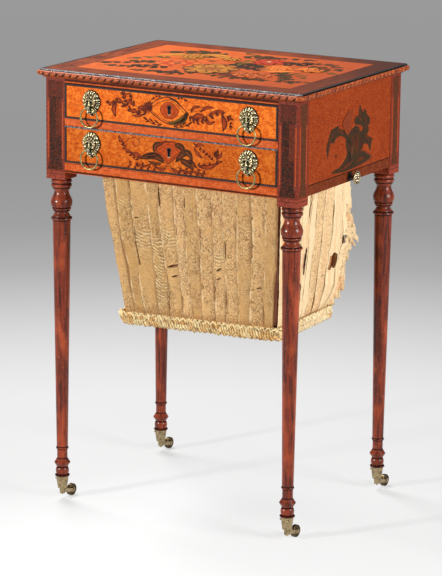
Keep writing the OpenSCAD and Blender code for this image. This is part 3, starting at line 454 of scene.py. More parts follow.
def paintCrossband():
    # streaks run along each strip, so the side strips are streaked the other way
    paint = Paint("darkCrossbanding")
    place = paint.place()
    x, y, _ = paint.parts(place)
    fieldX, fieldY = table["field"]
    side = (abs(x) - fieldX) > (abs(y) - fieldY)
    endStreak = paint.cloud(paint.stretched(place, 1, 0.05, 1), 2.6, 4, 0.6, 0.3)
    longStreak = paint.cloud(paint.stretched(place, 0.05, 1, 1), 2.6, 4, 0.6, 0.3)
    streak = side * endStreak + (1 - side) * longStreak
    blotch = paint.cloud(place, 28, 3, 0.6)
    speck = paint.cloud(place, 1.6, 4, 0.75)
    colour = paint.over(
        paint.mix(streak.between(0.36, 0.62), *crossband["streak"]),
        (blotch.between(0.45, 0.72) * 0.7, crossband["blotch"]),
        (speck.between(0.56, 0.68) * 0.6, crossband["speck"]),
        # painted shade: darker towards the right, darkest at the back right
        (x.between(-150, 230) * 0.45, crossband["right"]),
        (x.between(40, 230) * y.between(-120, 170) * 0.75, crossband["backRight"]))
    return paint.solid({
        "Base Color": colour,
        "Specular IOR Level": 0.04,
        "Roughness": 0.34 + 0.15 * blotch,
        "Normal": paint.bump(streak, 0.1, 0.4),
    })


# shine: between these heights, in front of this face, a broken grey painted highlight lies on the black
blacks = {
    "ebony": {"name": "ebonisedBead", "shine": (643.6, 646.4), "face": -181.2, "glint": (0.24, 0.27, 0.30)},
    "topEbony": {"name": "ebonisedTopBead", "shine": (735, 739), "face": -185.6, "glint": (0.50, 0.50, 0.50)},
    "keyhole": {"name": "blackEscutcheonAndKeyholeShadow", "shine": (900, 901), "face": -999, "glint": (0.50, 0.50, 0.50)},
}


def paintBlack(black):
    paint = Paint(black["name"])
    place = paint.place()
    _, y, z = paint.parts(place)
    low, high = black["shine"]
    wear = paint.cloud(place, 14, 5, 0.75)
    broken = paint.cloud(paint.stretched(place, 0.5, 1, 1), 2.6, 4, 0.8)
    # painted highlight: the front of the bead is broken grey, as a reflection
    shine = z.between(low, low + 0.6) * z.between(high + 0.6, high) * (y < black["face"])
    grey = paint.mix(broken.between(0.50, 0.62), (0.10, 0.11, 0.12), black["glint"])
    colour = paint.over(
        paint.mix(wear.between(0.6, 0.7), (0.006, 0.005, 0.005), (0.11, 0.045, 0.025)),
        (shine * broken.between(0.42, 0.48), grey))
    return paint.solid({
        "Base Color": colour,
        "Specular IOR Level": 0.2,
        "Roughness": 0.3 + 0.3 * wear,
        "Normal": paint.bump(wear, 0.1, 0.3),
    })


def paintRope():
    paint = Paint("ropeMouldingWood")
    place = paint.place()
    fibre = paint.cloud(place, 2.6, 4, 0.75)
    blotch = paint.cloud(place, 15, 3, 0.6)
    colour = paint.over(
        paint.mix(fibre.between(0.40, 0.64), (0.19, 0.025, 0.005), (0.68, 0.155, 0.036)),
        (blotch.between(0.48, 0.70) * 0.7, (0.11, 0.020, 0.008)),
        # painted shade, black in the grooves between the lobes
        (paint.own("hollow").between(0.14, 0.52), shadowBlack))
    return paint.solid({
        "Base Color": colour,
        "Specular IOR Level": 0.2,
        "Roughness": 0.3 + 0.2 * fibre,
        "Normal": paint.bump(fibre, 0.15, 0.5),
    })


def paintOak(name, body, dark, along):
    paint = Paint(name)
    place = paint.place()
    grain = paint.cloud(paint.stretched(place, *along), 2.4, 5, 0.65, 0.5)
    fleck = paint.cloud(paint.stretched(place, *along), 0.7, 2)
    stain = paint.cloud(place, 40, 3)
    colour = paint.over(
        body,
        (grain.between(0.35, 0.68), dark),
        (fleck.between(0.6, 0.7) * 0.5, dark),
        (stain.between(0.55, 0.8) * 0.5, dark))
    return paint.solid({
        "Base Color": colour,
        "Roughness": 0.62 + 0.15 * grain,
        "Normal": paint.bump(grain + fleck, 0.2, 0.5),
    })


def paintBrass(name, bright, dull, carved=False):
    # old brass: bright where hands rub it, brown and green where they can't
    paint = Paint(name)
    place = paint.place()
    film = paint.cloud(place, 6, 4, 0.7)
    pits = paint.cloud(place, 0.9, 3)
    tarnish = film.between(0.46, 0.66) * 0.8
    # on carved pieces the tarnish follows the relief attribute: patina in the hollows, plus the painted shade
    # laid into it on the masks and the knob
    if carved:
        tarnish = (tarnish * 0.4).most(1 - paint.own("relief").between(0.40, 0.57))
    colour = paint.over(
        bright,
        (tarnish, dull),
        (pits.between(0.60, 0.70) * 0.6, dull))
    return paint.solid({
        "Base Color": colour,
        "Metallic": 1 - 0.7 * tarnish,
        "Roughness": 0.27 + 0.3 * tarnish + 0.12 * film,
        "Normal": paint.bump(pits + film, 0.1, 0.5),
    })


def paintInlay():
    paint = Paint("marquetryWoods")
    place = paint.place()
    grain = paint.cloud(paint.stretched(place, 0.25, 1, 1), 1.2, 4, 0.65)
    drift = paint.cloud(place, 6, 2)
    rubbed = paint.cloud(place, 3.2, 4, 0.75).between(0.52, 0.66)
    flaw = paint.cloud(place, 1.7, 3, 0.8).between(0.56, 0.64)
    colour = paint.times(paint.own("tint", "Color"), 0.45 + 0.7 * grain + 0.4 * drift)
    colour = paint.mix(rubbed * 0.38, colour, (0.26, 0.055, 0.018))
    return paint.solid({
        "Base Color": paint.times(colour, 1.1 - 0.5 * flaw),
        "Specular IOR Level": 0.04,
        "Roughness": 0.34 + 0.1 * grain,
        "Normal": paint.bump(grain, 0.08, 0.3),
    })


def paintPilaster():
    # dark burr wood, rubbed through to red in specks
    paint = Paint("pilasterVeneer")
    place = paint.place()
    speck = paint.cloud(place, 2.0, 4, 0.85)
    grit = paint.cloud(place, 1.6, 3, 0.8)
    blotch = paint.cloud(place, 9, 3, 0.6)
    colour = paint.over(
        paint.times(paint.own("tint", "Color"), 0.35 + 1.1 * blotch),
        (speck.between(0.51, 0.59) * 0.8, (0.24, 0.032, 0.014)),
        (grit.between(0.58, 0.64) * 0.5, (0.17, 0.11, 0.075)),
        (grit.between(0.44, 0.38) * 0.8, (0.008, 0.005, 0.004)))
    return paint.solid({
        "Base Color": colour,
        "Specular IOR Level": 0.045,
        "Roughness": 0.34 + 0.25 * speck,
        "Normal": paint.bump(speck + blotch, 0.2, 0.6),
    })


silkTints = {
    "dull": (0.60, 0.350, 0.125),
    "clear": (0.87, 0.53, 0.235),
    "paleCream": (0.93, 0.71, 0.42),
    "shaded": (0.52, 0.29, 0.11),
    "pinkFoldShade": (0.84, 0.42, 0.19),
    "gleam": (1.0, 0.84, 0.52),
    "lines": (0.17, 0.068, 0.018),
    "soil": (0.38, 0.19, 0.07),
    "stain": (0.46, 0.22, 0.09),
    "creaseShade": (0.22, 0.098, 0.032),
    # painted highlight and wear on the pleats' proud edges
    "rubbed": (1.0, 0.80, 0.48),
    "foot": (0.32, 0.145, 0.045),
    "arcHighlight": (1.0, 0.86, 0.50),
    "arcShade": (0.34, 0.17, 0.052),
    "speck": (0.10, 0.04, 0.018),
}


def scribble(paint, place, size, width):
    # thin curling lines, where a cloud crosses its middle value
    return 1 - abs(paint.cloud(place, size, 1.0, 0.5, 0.6) - 0.5).between(0.0, width)


def paintSilk():
    # pale silk with a curling woven pattern, worn away in places, with painted shade and highlights on its
    # pleats; it follows the cloth
    paint = Paint("wornSilk")
    place = paint.place()
    tone, tuck, arcs, bow, across, down = (
        paint.own(name) for name in ("tone", "tuck", "arc", "bow", "across", "down"))
    cloth = paint.joined(across, down, 0.0)
    pale = tone.between(0.7, 1.3)
    patch = paint.cloud(paint.stretched(cloth, 1, 0.6, 1), 38, 3, 0.65)
    patch = (patch + tone.least(1.0) * 0.24).between(0.44, 0.70) * (1 - 0.8 * tone.between(0.85, 1.25))
    lines = scribble(paint, cloth, 9, 0.038).most(scribble(paint, cloth, 5.0, 0.055) * 0.9)
    beside = paint.node("ShaderNodeVectorMath", {"operation": "ADD"}, {0: cloth, 1: (1.3, 1.6, 0)})
    gleam = scribble(paint, beside, 10, 0.05).most(scribble(paint, beside, 5.5, 0.07) * 0.85)
    mottle = paint.cloud(cloth, 3.2, 4, 0.75)
    stain = paint.cloud(paint.stretched(place, 1, 1, 0.35), 24, 4, 0.65)
    weave = paint.cloud(paint.stretched(cloth, 1, 0.12, 1), 0.8, 2)
    # painted shade of broad pink folds down the pale cloth
    pinkFoldShade = paint.cloud(paint.stretched(cloth, 1, 0.06, 1), 16, 2).between(0.52, 0.66)
    soil = (1 - 0.75 * pale) * (0.22 + 0.5 * patch)
    # painted shade where each pleat goes under the next
    creaseShade = tuck.between(0.74, 0.96) * paint.cloud(cloth, 24, 3).between(0.28, 0.46)
    # painted highlight on the proud edge of each pleat, together with wear
    rubbed = tuck.between(0.14, 0.02) * paint.cloud(cloth, 17, 3).between(0.40, 0.6)
    foot = down.between(222, 243) * mottle.between(0.40, 0.56) * (1 - 0.7 * pale)
    # painted highlights and shade on folds pulled into arcs
    arc = (down * 1.1 + bow * 15 + stain * 22 + mottle * 3).sine()
    pulled = arcs * paint.cloud(cloth, 15, 2).between(0.34, 0.60)
    speck = paint.cloud(cloth, 2.4, 3, 0.65).between(0.67, 0.71)
    colour = paint.over(
        silkTints["dull"],
        (tone.between(0.1, 0.9), silkTints["clear"]),
        # paler where the tone is high, which is all of the right panel
        (pale, silkTints["paleCream"]),
        (tuck.between(0.35, 0.95) * 0.35, silkTints["shaded"]),
        (pinkFoldShade * pale * 0.75, silkTints["pinkFoldShade"]),
        (gleam * patch * 0.30, silkTints["gleam"]),
        (lines * (0.24 + 0.60 * patch) * (1 - 0.5 * pale), silkTints["lines"]),
        (mottle.between(0.50, 0.66) * soil, silkTints["soil"]),
        (stain.between(0.54, 0.72) * (0.5 - 0.35 * pale), silkTints["stain"]),
        (creaseShade * 0.74, silkTints["creaseShade"]),
        (rubbed * 0.6, silkTints["rubbed"]),
        (foot * 0.7, silkTints["foot"]),
        (arc.between(0.35, 1.0) * pulled * 0.7, silkTints["arcHighlight"]),
        (arc.between(-0.45, -1.0) * pulled * 0.55, silkTints["arcShade"]),
        (speck * 0.75, silkTints["speck"]))
    return paint.solid({
        "Base Color": colour,
        "Specular IOR Level": 0.2,
        "Roughness": 0.6 + 0.2 * mottle,
        "Normal": paint.bump(weave + mottle * 2 + stain * 3 - lines * patch * 0.8 + arc * pulled, 0.6, 0.6),
    })


def paintLining():
    paint = Paint("brownLining")
    place = paint.place()
    y = paint.parts(place)[1]
    weave = paint.cloud(place, 1.1, 3)
    colour = paint.over(
        (0.12, 0.030, 0.014),
        (weave, (0.26, 0.085, 0.035)),
        # painted light: lighter towards the back, where the inside shows through the holes
        (y.between(10, 60), (0.62, 0.27, 0.08)))
    return paint.solid({"Base Color": colour, "Roughness": 0.9, "Normal": paint.bump(weave, 0.3, 0.6)})


def paintBraid():
    paint = Paint("ruchedBraid")
    place = paint.place()
    x, y, _ = paint.parts(place)
    lint = paint.cloud(place, 2.4, 4, 0.75)
    thread = paint.cloud(paint.stretched(place, 1, 1, 0.4), 0.9, 3)
    speck = paint.cloud(place, 4.2, 3, 0.7)
    colour = paint.over(
        (0.78, 0.44, 0.155),
        (paint.own("tone").between(0.0, 1.0), (1.0, 0.81, 0.43)),
        (lint.between(0.50, 0.68) * 0.6, (0.36, 0.17, 0.05)),
        # painted shade in the gaps between the knots
        (paint.own("tuck").between(0.15, 0.75) * 0.84, (0.13, 0.052, 0.015)),
        (speck.between(0.55, 0.61) * 0.75, (0.13, 0.050, 0.016)),
        # painted light on the right end, which faces the right lamp
        (x.between(152, 170) * y.between(-80, 20) * 0.6, (1.0, 0.88, 0.62)))
    return paint.solid({
        "Base Color": colour,
        "Specular IOR Level": 0.15,
        "Roughness": 0.75 + 0.1 * lint,
        "Normal": paint.bump(thread + lint, 0.4, 0.8),
    })


finishes = {
    **{key: paintVeneer(wood) for key, wood in veneers.items()},
    **{key: paintBlack(black) for key, black in blacks.items()},
    "mahogany": paintMahogany(),
    "crossband": paintCrossband(),
    "rope": paintRope(),
    "oak": paintOak("plainOak", (0.44, 0.27, 0.12), (0.22, 0.11, 0.045), (0.08, 1, 1)),
    "back": paintOak("backWood", (0.22, 0.085, 0.035), (0.10, 0.035, 0.016), (0.08, 1, 1)),
    "board": paintOak("bagBoard", (0.30, 0.20, 0.11), (0.16, 0.09, 0.05), (0.1, 1, 1)),
    "brass": paintBrass("antiqueBrass", (0.36, 0.295, 0.12), (0.020, 0.015, 0.006)),
    "carvedBrass": paintBrass("antiqueBrassCarved", (0.86, 0.77, 0.46), (0.008, 0.006, 0.003), True),
    "knobBrass": paintBrass("antiqueBrassKnob", (0.44, 0.36, 0.22), (0.018, 0.012, 0.006), True),
    "wheelBrass": paintBrass("brownedBrassWheel", (0.10, 0.066, 0.028), (0.030, 0.017, 0.008)),
    "casterBrass": paintBrass("brownedBrass", (0.41, 0.31, 0.17), (0.07, 0.040, 0.018)),
    "inlay": paintInlay(),
    "pilaster": paintPilaster(),
    "silk": paintSilk(),
    "lining": paintLining(),
    "braid": paintBraid(),
}
nodeFinish = {
    "mahogany": ("leg_",),
    "drawer": ("upper_drawer_front", "lower_drawer_front"),
    "field": ("top_field",),
    "rail": ("front_top_rail", "front_middle_rail", "front_bottom_rail"),
    "side": ("side_panel_",),
    "slide": ("bag_slide_front",),
    "crossband": ("top_crossband", "top_board"),
    "ebony": ("upper_drawer_beading", "lower_drawer_beading"),
    "topEbony": ("top_edge_bead",),
    # black escutcheons, and the locks painted black as the shadow inside the keyholes
    "keyhole": ("side_escutcheon", "upper_escutcheon", "lower_escutcheon",
                "side_lock", "upper_lock", "lower_lock"),
    "casterBrass": ("caster_", "horn_"),
    "wheelBrass": ("wheel_",),
    "oak": ("drawer_runners", "kicker_strips", "drawer_stops", "bag_runners", "bag_slide_frame",
            "upper_drawer_sides", "upper_drawer_back", "upper_drawer_bottom",
            "lower_drawer_sides", "lower_drawer_back", "lower_drawer_bottom"),
    "back": ("back_panel",),
    "board": ("bag_bottom",),
    "brass": ("upper_left_ring", "upper_right_ring", "lower_left_ring", "lower_right_ring"),
}


def dressNodes():
    for finish, starts in nodeFinish.items():
        for name, node in nodes.items():
            if name.startswith(starts):
                node.data.materials.clear()
                node.data.materials.append(finishes[finish])


dressNodes()
print("finishes on the frame:", len(finishes))


# Modelling helpers, all in millimetres until a piece is settled

def addPatch(form, cols, rows, place, values=None):
    # a grid whose points are moved by place(u, v); values(u, v) fills vertex layers by name
    made = bmesh.ops.create_grid(form, x_segments=cols, y_segments=rows, size=0.5, calc_uvs=True)["verts"]
    for vert in made:
        u, v = vert.co.x + 0.5, vert.co.y + 0.5
        vert.co = place(u, v)
        for name, value in (values(u, v) if values else {}).items():
            setValue(form, vert, name, value)


def setValue(form, vert, name, value):             # a number, or a colour of three
    if isinstance(value, tuple):
        vert[form.verts.layers.float_color[name]] = (*value, 1)
    else:
        vert[form.verts.layers.float[name]] = value


def newForm(*numbers, colours=()):                 # a bmesh with a map and the layers that paints read
    form = bmesh.new()
    form.loops.layers.uv.new("UVMap")
    for name in numbers:
        form.verts.layers.float.new(name)
    for name in colours:
        form.verts.layers.float_color.new(name)
    return form


def onFace(turn, distance):                        # local x right, y up, z out of that face
    return (Matrix.Rotation(math.radians(turn), 4, "Z") @ Matrix.Translation((0, -distance, 0))
            @ Matrix.Rotation(math.radians(90), 4, "X"))


def settle(form, name, finish, body, matrix=None, weld=0.01, smooth=True, outward=True):
    # welds the form, turns it to metres and makes it a piece that rides on a body
    if weld:
        bmesh.ops.remove_doubles(form, verts=form.verts, dist=weld)
    if outward:
        bmesh.ops.recalc_face_normals(form, faces=form.faces)
    bmesh.ops.transform(form, matrix=Matrix.Scale(mm, 4) @ (matrix or Matrix()), verts=form.verts)
    mesh = bpy.data.meshes.new(name)
    form.to_mesh(mesh)
    form.free()
    for polygon in mesh.polygons:
        polygon.use_smooth = smooth
    mesh.materials.append(finishes[finish])
    piece = bpy.data.objects.new(name, mesh)
    bpy.context.scene.collection.objects.link(piece)
    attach(piece, body)
    return piece


def thicken(piece, thickness, offset=-1):
    wall = piece.modifiers.new("thickness", "SOLIDIFY")
    wall.thickness = thickness * mm
    wall.offset = offset
    return piece


def outlineSpot(halfX, halfY, corner, length):
    # point and outward direction at a length along a rounded rectangle, from its front left
    runs = (2 * (halfX - corner), 2 * (halfY - corner)) * 2
    bend = corner * math.pi / 2
    length %= sum(runs) + 4 * bend
    for side, run in enumerate(runs):
        turn = side * math.pi / 2
        along = Vector((math.cos(turn), math.sin(turn)))
        out = Vector((math.sin(turn), -math.cos(turn)))
        reach = (halfX if side % 2 else halfY) - corner
        if length <= run:
            return along * (length - run / 2) + out * (reach + corner), out
        length -= run
        if length <= bend:
            angle = length / corner
            out = out * math.cos(angle) + along * math.sin(angle)
            middle = along * run / 2 + Vector((math.sin(turn), -math.cos(turn))) * reach
            return middle + out * corner, out
        length -= bend
    return Vector((-halfX + corner, -halfY)), Vector((0, -1))


def around(halfX, halfY, corner):
    return 4 * (halfX + halfY - 2 * corner) + 2 * math.pi * corner


def smoothPath(points, steps=8):                   # a smooth line through chosen points
    spots = [Vector(point) for point in points]
    spots = [2 * spots[0] - spots[1]] + spots + [2 * spots[-1] - spots[-2]]
    path = []
    for a, b, c, d in zip(spots, spots[1:], spots[2:], spots[3:]):
        path += geometry.interpolate_bezier(b, b + (c - a) / 6, c - (d - b) / 6, c, steps + 1)[:-1]
    return path + [spots[-2]]


def alongPath(path, share):
    where = min(max(share, 0), 1) * (len(path) - 1)
    k = min(int(where), len(path) - 2)
    return path[k].lerp(path[k + 1], where - k), (path[k + 1] - path[k]).normalized()


def flatPath(points, steps=6):                     # the same on a face, from points in x and y
    return smoothPath([(point[0], point[1], 0) for point in points], steps)


def sideways(ahead):
    return Vector((-ahead.y, ahead.x, 0))


def softStep(low, high, value):
    t = min(max((value - low) / (high - low), 0), 1)
    return t * t * (3 - 2 * t)


def hill(x, y, middleX, middleY, radiusX, radiusY):
    return math.exp(-((x - middleX) / radiusX) ** 2 - ((y - middleY) / radiusY) ** 2)


def squarer(value, power):                         # a sine or cosine whose wave has flatter tops
    return math.copysign(abs(value) ** power, value)


def ripple(*spot):
    return noise.noise(Vector(spot))


# Rope moulding

rope = {
    "half": (238, 185),
    "corner": 2,
    "level": 727.2,
    "height": 8.4,
    "reach": 10,
    "pitch": 13.3,          # length of one lobe
    "slant": -0.75,         # how far a groove leans, in lobes
    "groove": 1.6,
    "stepsPerLobe": 12,
    "sectionSteps": 20,
}


def makeRope():
    form = newForm("hollow")
    halfX, halfY = rope["half"]
    total = around(halfX, halfY, rope["corner"])
    lobes = round(total / rope["pitch"])
    radius = rope["height"] / 2

    def hollow(u, v):
        phase = u * lobes + rope["slant"] * v
        worn = 1 - 0.7 * softStep(0.42, 0.66, v)
        return worn * (1 - abs(math.sin(math.pi * phase))) ** 2.4

    def place(u, v):
        spot, out = outlineSpot(halfX, halfY, rope["corner"], u * total)
        if v > 0.9:                                # the flat back, against the board
            t = (v - 0.9) / 0.1
            return (*spot, rope["level"] + rope["height"] * t)
        angle = math.pi * (v / 0.9 - 0.5)
        section = radius - rope["groove"] * hollow(u, v) * math.cos(angle) ** 0.5
        wander = 0.25 * ripple(spot.x / 9, spot.y / 9, v * 3)
        away = rope["reach"] - radius + (section + wander) * math.cos(angle)
        if v in (0, 0.9):
            away = 0.0
        spot = spot + out * away
        return (*spot, rope["level"] + radius + section * math.sin(angle))

    addPatch(form, lobes * rope["stepsPerLobe"], rope["sectionSteps"], place,
             lambda u, v: {"hollow": hollow(u, v) if v < 0.9 else 0.0})
    piece = settle(form, "rope_moulding", "rope", "root")
    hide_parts("top_rope_moulding")


makeRope()
print("rope moulding made")


# Lion masks

mask = {
    "half": (17.5, 21.5),
    "rim": 1.6,
    "dome": 4.4,
    "spokes": 168,
    "rings": 46,
    "lockDepth": 4.2,
    "outerLocks": 21,
    "innerLocks": 15,
    "pivotDrop": 7.5,
    "pivotOut": 8.5,
    "boreRadius": 2.31,
    "lugRadius": 4.3,
    "lugHalfWidth": 4,
    "places": (-146, 146),
    "levels": {"upper": 688.5, "lower": 619.5},
    "frontThickness": 18,
    "nut": (9, 3),          # width and thickness
    "stud": 2,
}


def lockWave(angle, locks, lean=0.0):              # 1 on the back of each lock, 0 between two
    uneven = angle + 0.12 * math.sin(3 * angle + 0.6) + 0.07 * math.sin(5 * angle)
    return abs(math.cos(locks / 2 * uneven + lean))


def maskEdge(angle):
    halfX, halfY = mask["half"]
    reach = 1 / math.hypot(math.cos(angle) / halfX, math.sin(angle) / halfY)
    down = max(0, -math.sin(angle))
    reach *= 1 - 0.30 * down * abs(math.cos(angle))
    return reach * (0.93 + 0.07 * lockWave(angle, mask["outerLocks"]) ** 0.6)


def maskHeight(x, y):
    angle = math.atan2(y, x)
    out = math.hypot(x, y) / maskEdge(angle)
    dome = mask["rim"] + mask["dome"] * math.sqrt(max(0, 1 - min(out, 1) ** 2.6))
    side = abs(x)
    # two wreaths of thick locks, each leaning the other way
    outer = lockWave(angle, mask["outerLocks"], 2.2 * (out - 0.7)) ** 0.5
    inner = lockWave(angle, mask["innerLocks"], 0.9 - 2.4 * (out - 0.5)) ** 0.5
    outerBand = softStep(0.64, 0.72, out) * (1 - softStep(0.95, 1.02, out) * 0.5)
    innerBand = softStep(0.40, 0.48, out) * (1 - softStep(0.60, 0.66, out)) * softStep(-9, -3, y)
    z = dome + mask["lockDepth"] * (outerBand * (outer - 0.80) + innerBand * (inner - 0.55))
    z -= 1.3 * math.exp(-((out - 0.65) / 0.035) ** 2) * softStep(-12, -6, y)
    # the face: brows in a flat gable, deep eyes, a broad nose and full cheeks
    face = 1 - softStep(0.8, 1.2, math.hypot(x / 9.8, (y - 0.5) / 9.5))
    z += face * 1.2
    z += 3.4 * math.exp(-((y - 7.6 + 0.55 * side) / 1.5) ** 2) * softStep(11.0, 8.0, side)
    z += 1.6 * hill(x, y, 0, 8.4, 2.2, 2.6) + 2.2 * hill(side, y, 3.4, 11.2, 1.6, 2.4)
    z -= 3.6 * hill(side, y, 3.9, 2.9, 2.1, 1.5)
    z += 1.9 * hill(side, y, 3.9, 2.5, 1.0, 0.8)
    z += 3.6 * hill(x, y, 0, 2.0, 1.4, 3.4) + 4.4 * hill(x, y, 0, -2.6, 2.6, 1.7)
    z -= 2.0 * hill(side, y, 1.7, -4.0, 0.8, 0.7)
    z += 3.6 * hill(side, y, 6.9, -2.2, 2.3, 2.9)
    z -= 1.8 * hill(side, y, 4.3, -1.0, 0.7, 2.4)
    # ears and beard
    z += 2.6 * hill(side, y, 10.6, 11.0, 2.8, 2.4) - 2.8 * hill(side, y, 10.8, 10.8, 1.2, 1.2)
    beard = hill(x, y, 0, -16.0, 6.4, 5.2)
    curls = math.cos(1.5 * math.hypot(x, y + 13))
    z += beard * (2.2 + 1.5 * curls)
    # room for the ring in the jaw
    if -10.4 < y < -5.2 and side < 6.5:
        z = min(z, mask["pivotOut"] - mask["boreRadius"] - 0.15)
    if y < -5:
        z = min(z, 6.0 if side > 3 else 9.0)
    return max(z, 0.5)


def addMask(form):
    def place(u, v):
        angle = 2 * math.pi * u
        share = v * 1.12                           # past 1 the form turns back to the drawer
        if share > 1.09:
            return (0, 0, 0)
        reach = maskEdge(angle) * min(share, 1) ** 0.9
        x, y = reach * math.cos(angle), reach * math.sin(angle)
        return (x, y, 0 if share > 1.001 else maskHeight(x, y))

    def relief(u, v):
        x, y, z = place(u, v)
        if z == 0:
            return {"relief": 0.0}
        near = [maskHeight(x + dx, y + dy) for dx, dy in ((1.5, 0), (-1.5, 0), (0, 1.5), (0, -1.5))]
        # painted light and shade: the jaw and the right side darker, the left a little lighter
        paintedLightFall = 0.20 * softStep(-5, -9, y) + 0.34 * softStep(4, 14, x - 0.25 * y) - 0.10 * softStep(2, -8, x)
        return {"relief": 0.5 + 0.8 * (z - sum(near) / 4) - paintedLightFall + 0.16 * ripple(x / 1.9, y / 1.9, 0.5)}

    addPatch(form, mask["spokes"], mask["rings"], place, relief)

    def lug(u, v):                                 # the jaw: a thick loop round the ring's wire
        turn, section = 2 * math.pi * u, 2 * math.pi * v
        bore, outer = mask["boreRadius"], mask["lugRadius"]
        wall = (outer - bore) / 2
        reach = bore + wall + wall * squarer(math.cos(section), 0.6)
        return (mask["lugHalfWidth"] * squarer(math.sin(section), 0.6),
                -mask["pivotDrop"] + reach * math.sin(turn),
                mask["pivotOut"] + reach * math.cos(turn))

    addPatch(form, 36, 16, lug, lambda u, v: {"relief": 0.36 + 0.1 * math.cos(2 * math.pi * v)})


def addNut(form):                                  # on the stud, inside the drawer
    width, thick = mask["nut"]
    level = -mask["frontThickness"] - thick / 2
    before = set(form.verts)
    nut = bmesh.ops.create_cube(form, size=1, matrix=Matrix.Translation((0, 0, level))
                                @ Matrix.Diagonal((width, width, thick, 1)))["verts"]
    edges = {edge for vert in nut for edge in vert.link_edges}
    bmesh.ops.bevel(form, geom=list(edges), offset=0.5, segments=2, profile=0.5, affect="EDGES", material=-1)
    bmesh.ops.create_cone(form, cap_ends=True, segments=20, radius1=mask["stud"], radius2=mask["stud"] * 0.85,
                          depth=2, matrix=Matrix.Translation((0, 0, level - thick / 2 - 0.5)))
    for vert in set(form.verts) - before:
        setValue(form, vert, "relief", 0.5)


def makeMasks():
    for drawer, level in mask["levels"].items():
        form = newForm("relief")
        for x in mask["places"]:
            single = newForm("relief")
            addMask(single)
            addNut(single)
            bmesh.ops.remove_doubles(single, verts=single.verts, dist=0.01)
            bmesh.ops.recalc_face_normals(single, faces=single.faces)
            bmesh.ops.translate(single, vec=(x, level, 0), verts=single.verts)
            joint = bpy.data.meshes.new("joint")
            single.to_mesh(joint)
            single.free()
            form.from_mesh(joint)
            bpy.data.meshes.remove(joint)
        piece = settle(form, drawer + "_lion_masks", "carvedBrass", drawer + "_drawer",
                       onFace(0, table["front"]), 0)
        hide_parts(drawer + "_masks")


makeMasks()
print("lion masks made")


# Knob

knob = {
    "level": 576.5,
    "petals": 8,
    "spokes": 96,
    # radius and distance from the slide, from the middle of the face back to the shank's end
    "profile": ((0, 17.9), (1.2, 17.6), (2.3, 16.7), (2.6, 15.9), (3.4, 15.9), (4.6, 16.4), (5.8, 16.4),
                (7.0, 16.0), (7.9, 15.2), (8.4, 14.4), (8.9, 14.3), (9.5, 14.9), (10.2, 15.1), (11.0, 14.6),
                (11.5, 13.6), (11.4, 12.4), (10.6, 11.6), (8.4, 11.0), (5.0, 10.5), (3.0, 9.8), (2.5, 8.4),
                (2.5, 3.4), (3.1, 2.6), (5.0, 1.9), (6.4, 1.3), (6.8, 0.6), (6.8, 0), (2.5, 0), (2.5, -14),
                (0, -14)),
    "petalFrom": 2.6,
    "petalTo": 8.4,
    "petalDepth": 1.7,
    "faceFrom": 15,         # only the front of the profile is carved
    "grooves": (2.6, 8.4, 8.9),                    # radii that stay dark
    "backTo": 12.4,
}


def makeKnob():
    form = newForm("relief")
    profile = knob["profile"]
    last = len(profile) - 1

    def carved(u, v):                              # radius, distance out, and depth between two petals
        radius, out = profile[round(v * last)]
        groove = 1 - abs(math.cos(knob["petals"] / 2 * 2 * math.pi * u)) ** 0.7
        inPetals = knob["petalFrom"] < radius < knob["petalTo"] and out > knob["faceFrom"]
        return radius, out, groove * inPetals

    def place(u, v):
        angle = 2 * math.pi * u
        radius, out, groove = carved(u, v)
        return (radius * math.cos(angle), radius * math.sin(angle) + knob["level"],
                out - knob["petalDepth"] * groove)

    def relief(u, v):
        radius, out, groove = carved(u, v)
        # dark patina in the grooves, and painted shade on the back of the head and the shank
        low = radius in knob["grooves"] or out < knob["backTo"]
        return {"relief": 0.2 if low else 0.75 - 0.6 * groove}

    addPatch(form, knob["spokes"], last, place, relief)
    piece = settle(form, "rosette_knob", "knobBrass", "bag_slide", onFace(90, table["side"]))
    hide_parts("bag_knob")


makeKnob()
print("knob made")


# Marquetry and stringing

woods = {
    "black": (0.016, 0.009, 0.006),
    "leaf": (0.042, 0.026, 0.007),
    "smoke": (0.036, 0.022, 0.011),
    "olive": (0.12, 0.075, 0.014),
    "brown": (0.13, 0.022, 0.008),
    "umber": (0.060, 0.024, 0.010),
    "faint": (0.20, 0.036, 0.012),
    "deep": (0.46, 0.062, 0.010),
    "plum": (0.085, 0.016, 0.010),
    "ochre": (0.43, 0.140, 0.015),
    "yellow": (0.62, 0.225, 0.024),
    "orange": (0.74, 0.15, 0.022),
    "rust": (0.40, 0.075, 0.018),
    "red": (0.55, 0.045, 0.012),
    "pale": (0.84, 0.215, 0.034),
    "cream": (0.80, 0.55, 0.30),
    "string": (0.46, 0.075, 0.018),
    "dot": (0.34, 0.12, 0.055),
}
inlaySettings = {
    "proud": 0.06,
    "layer": 0.001,         # each shape lies this much over the one before,
    "layers": 850,          # and after so many the count starts again
    "wall": 0.9,
}


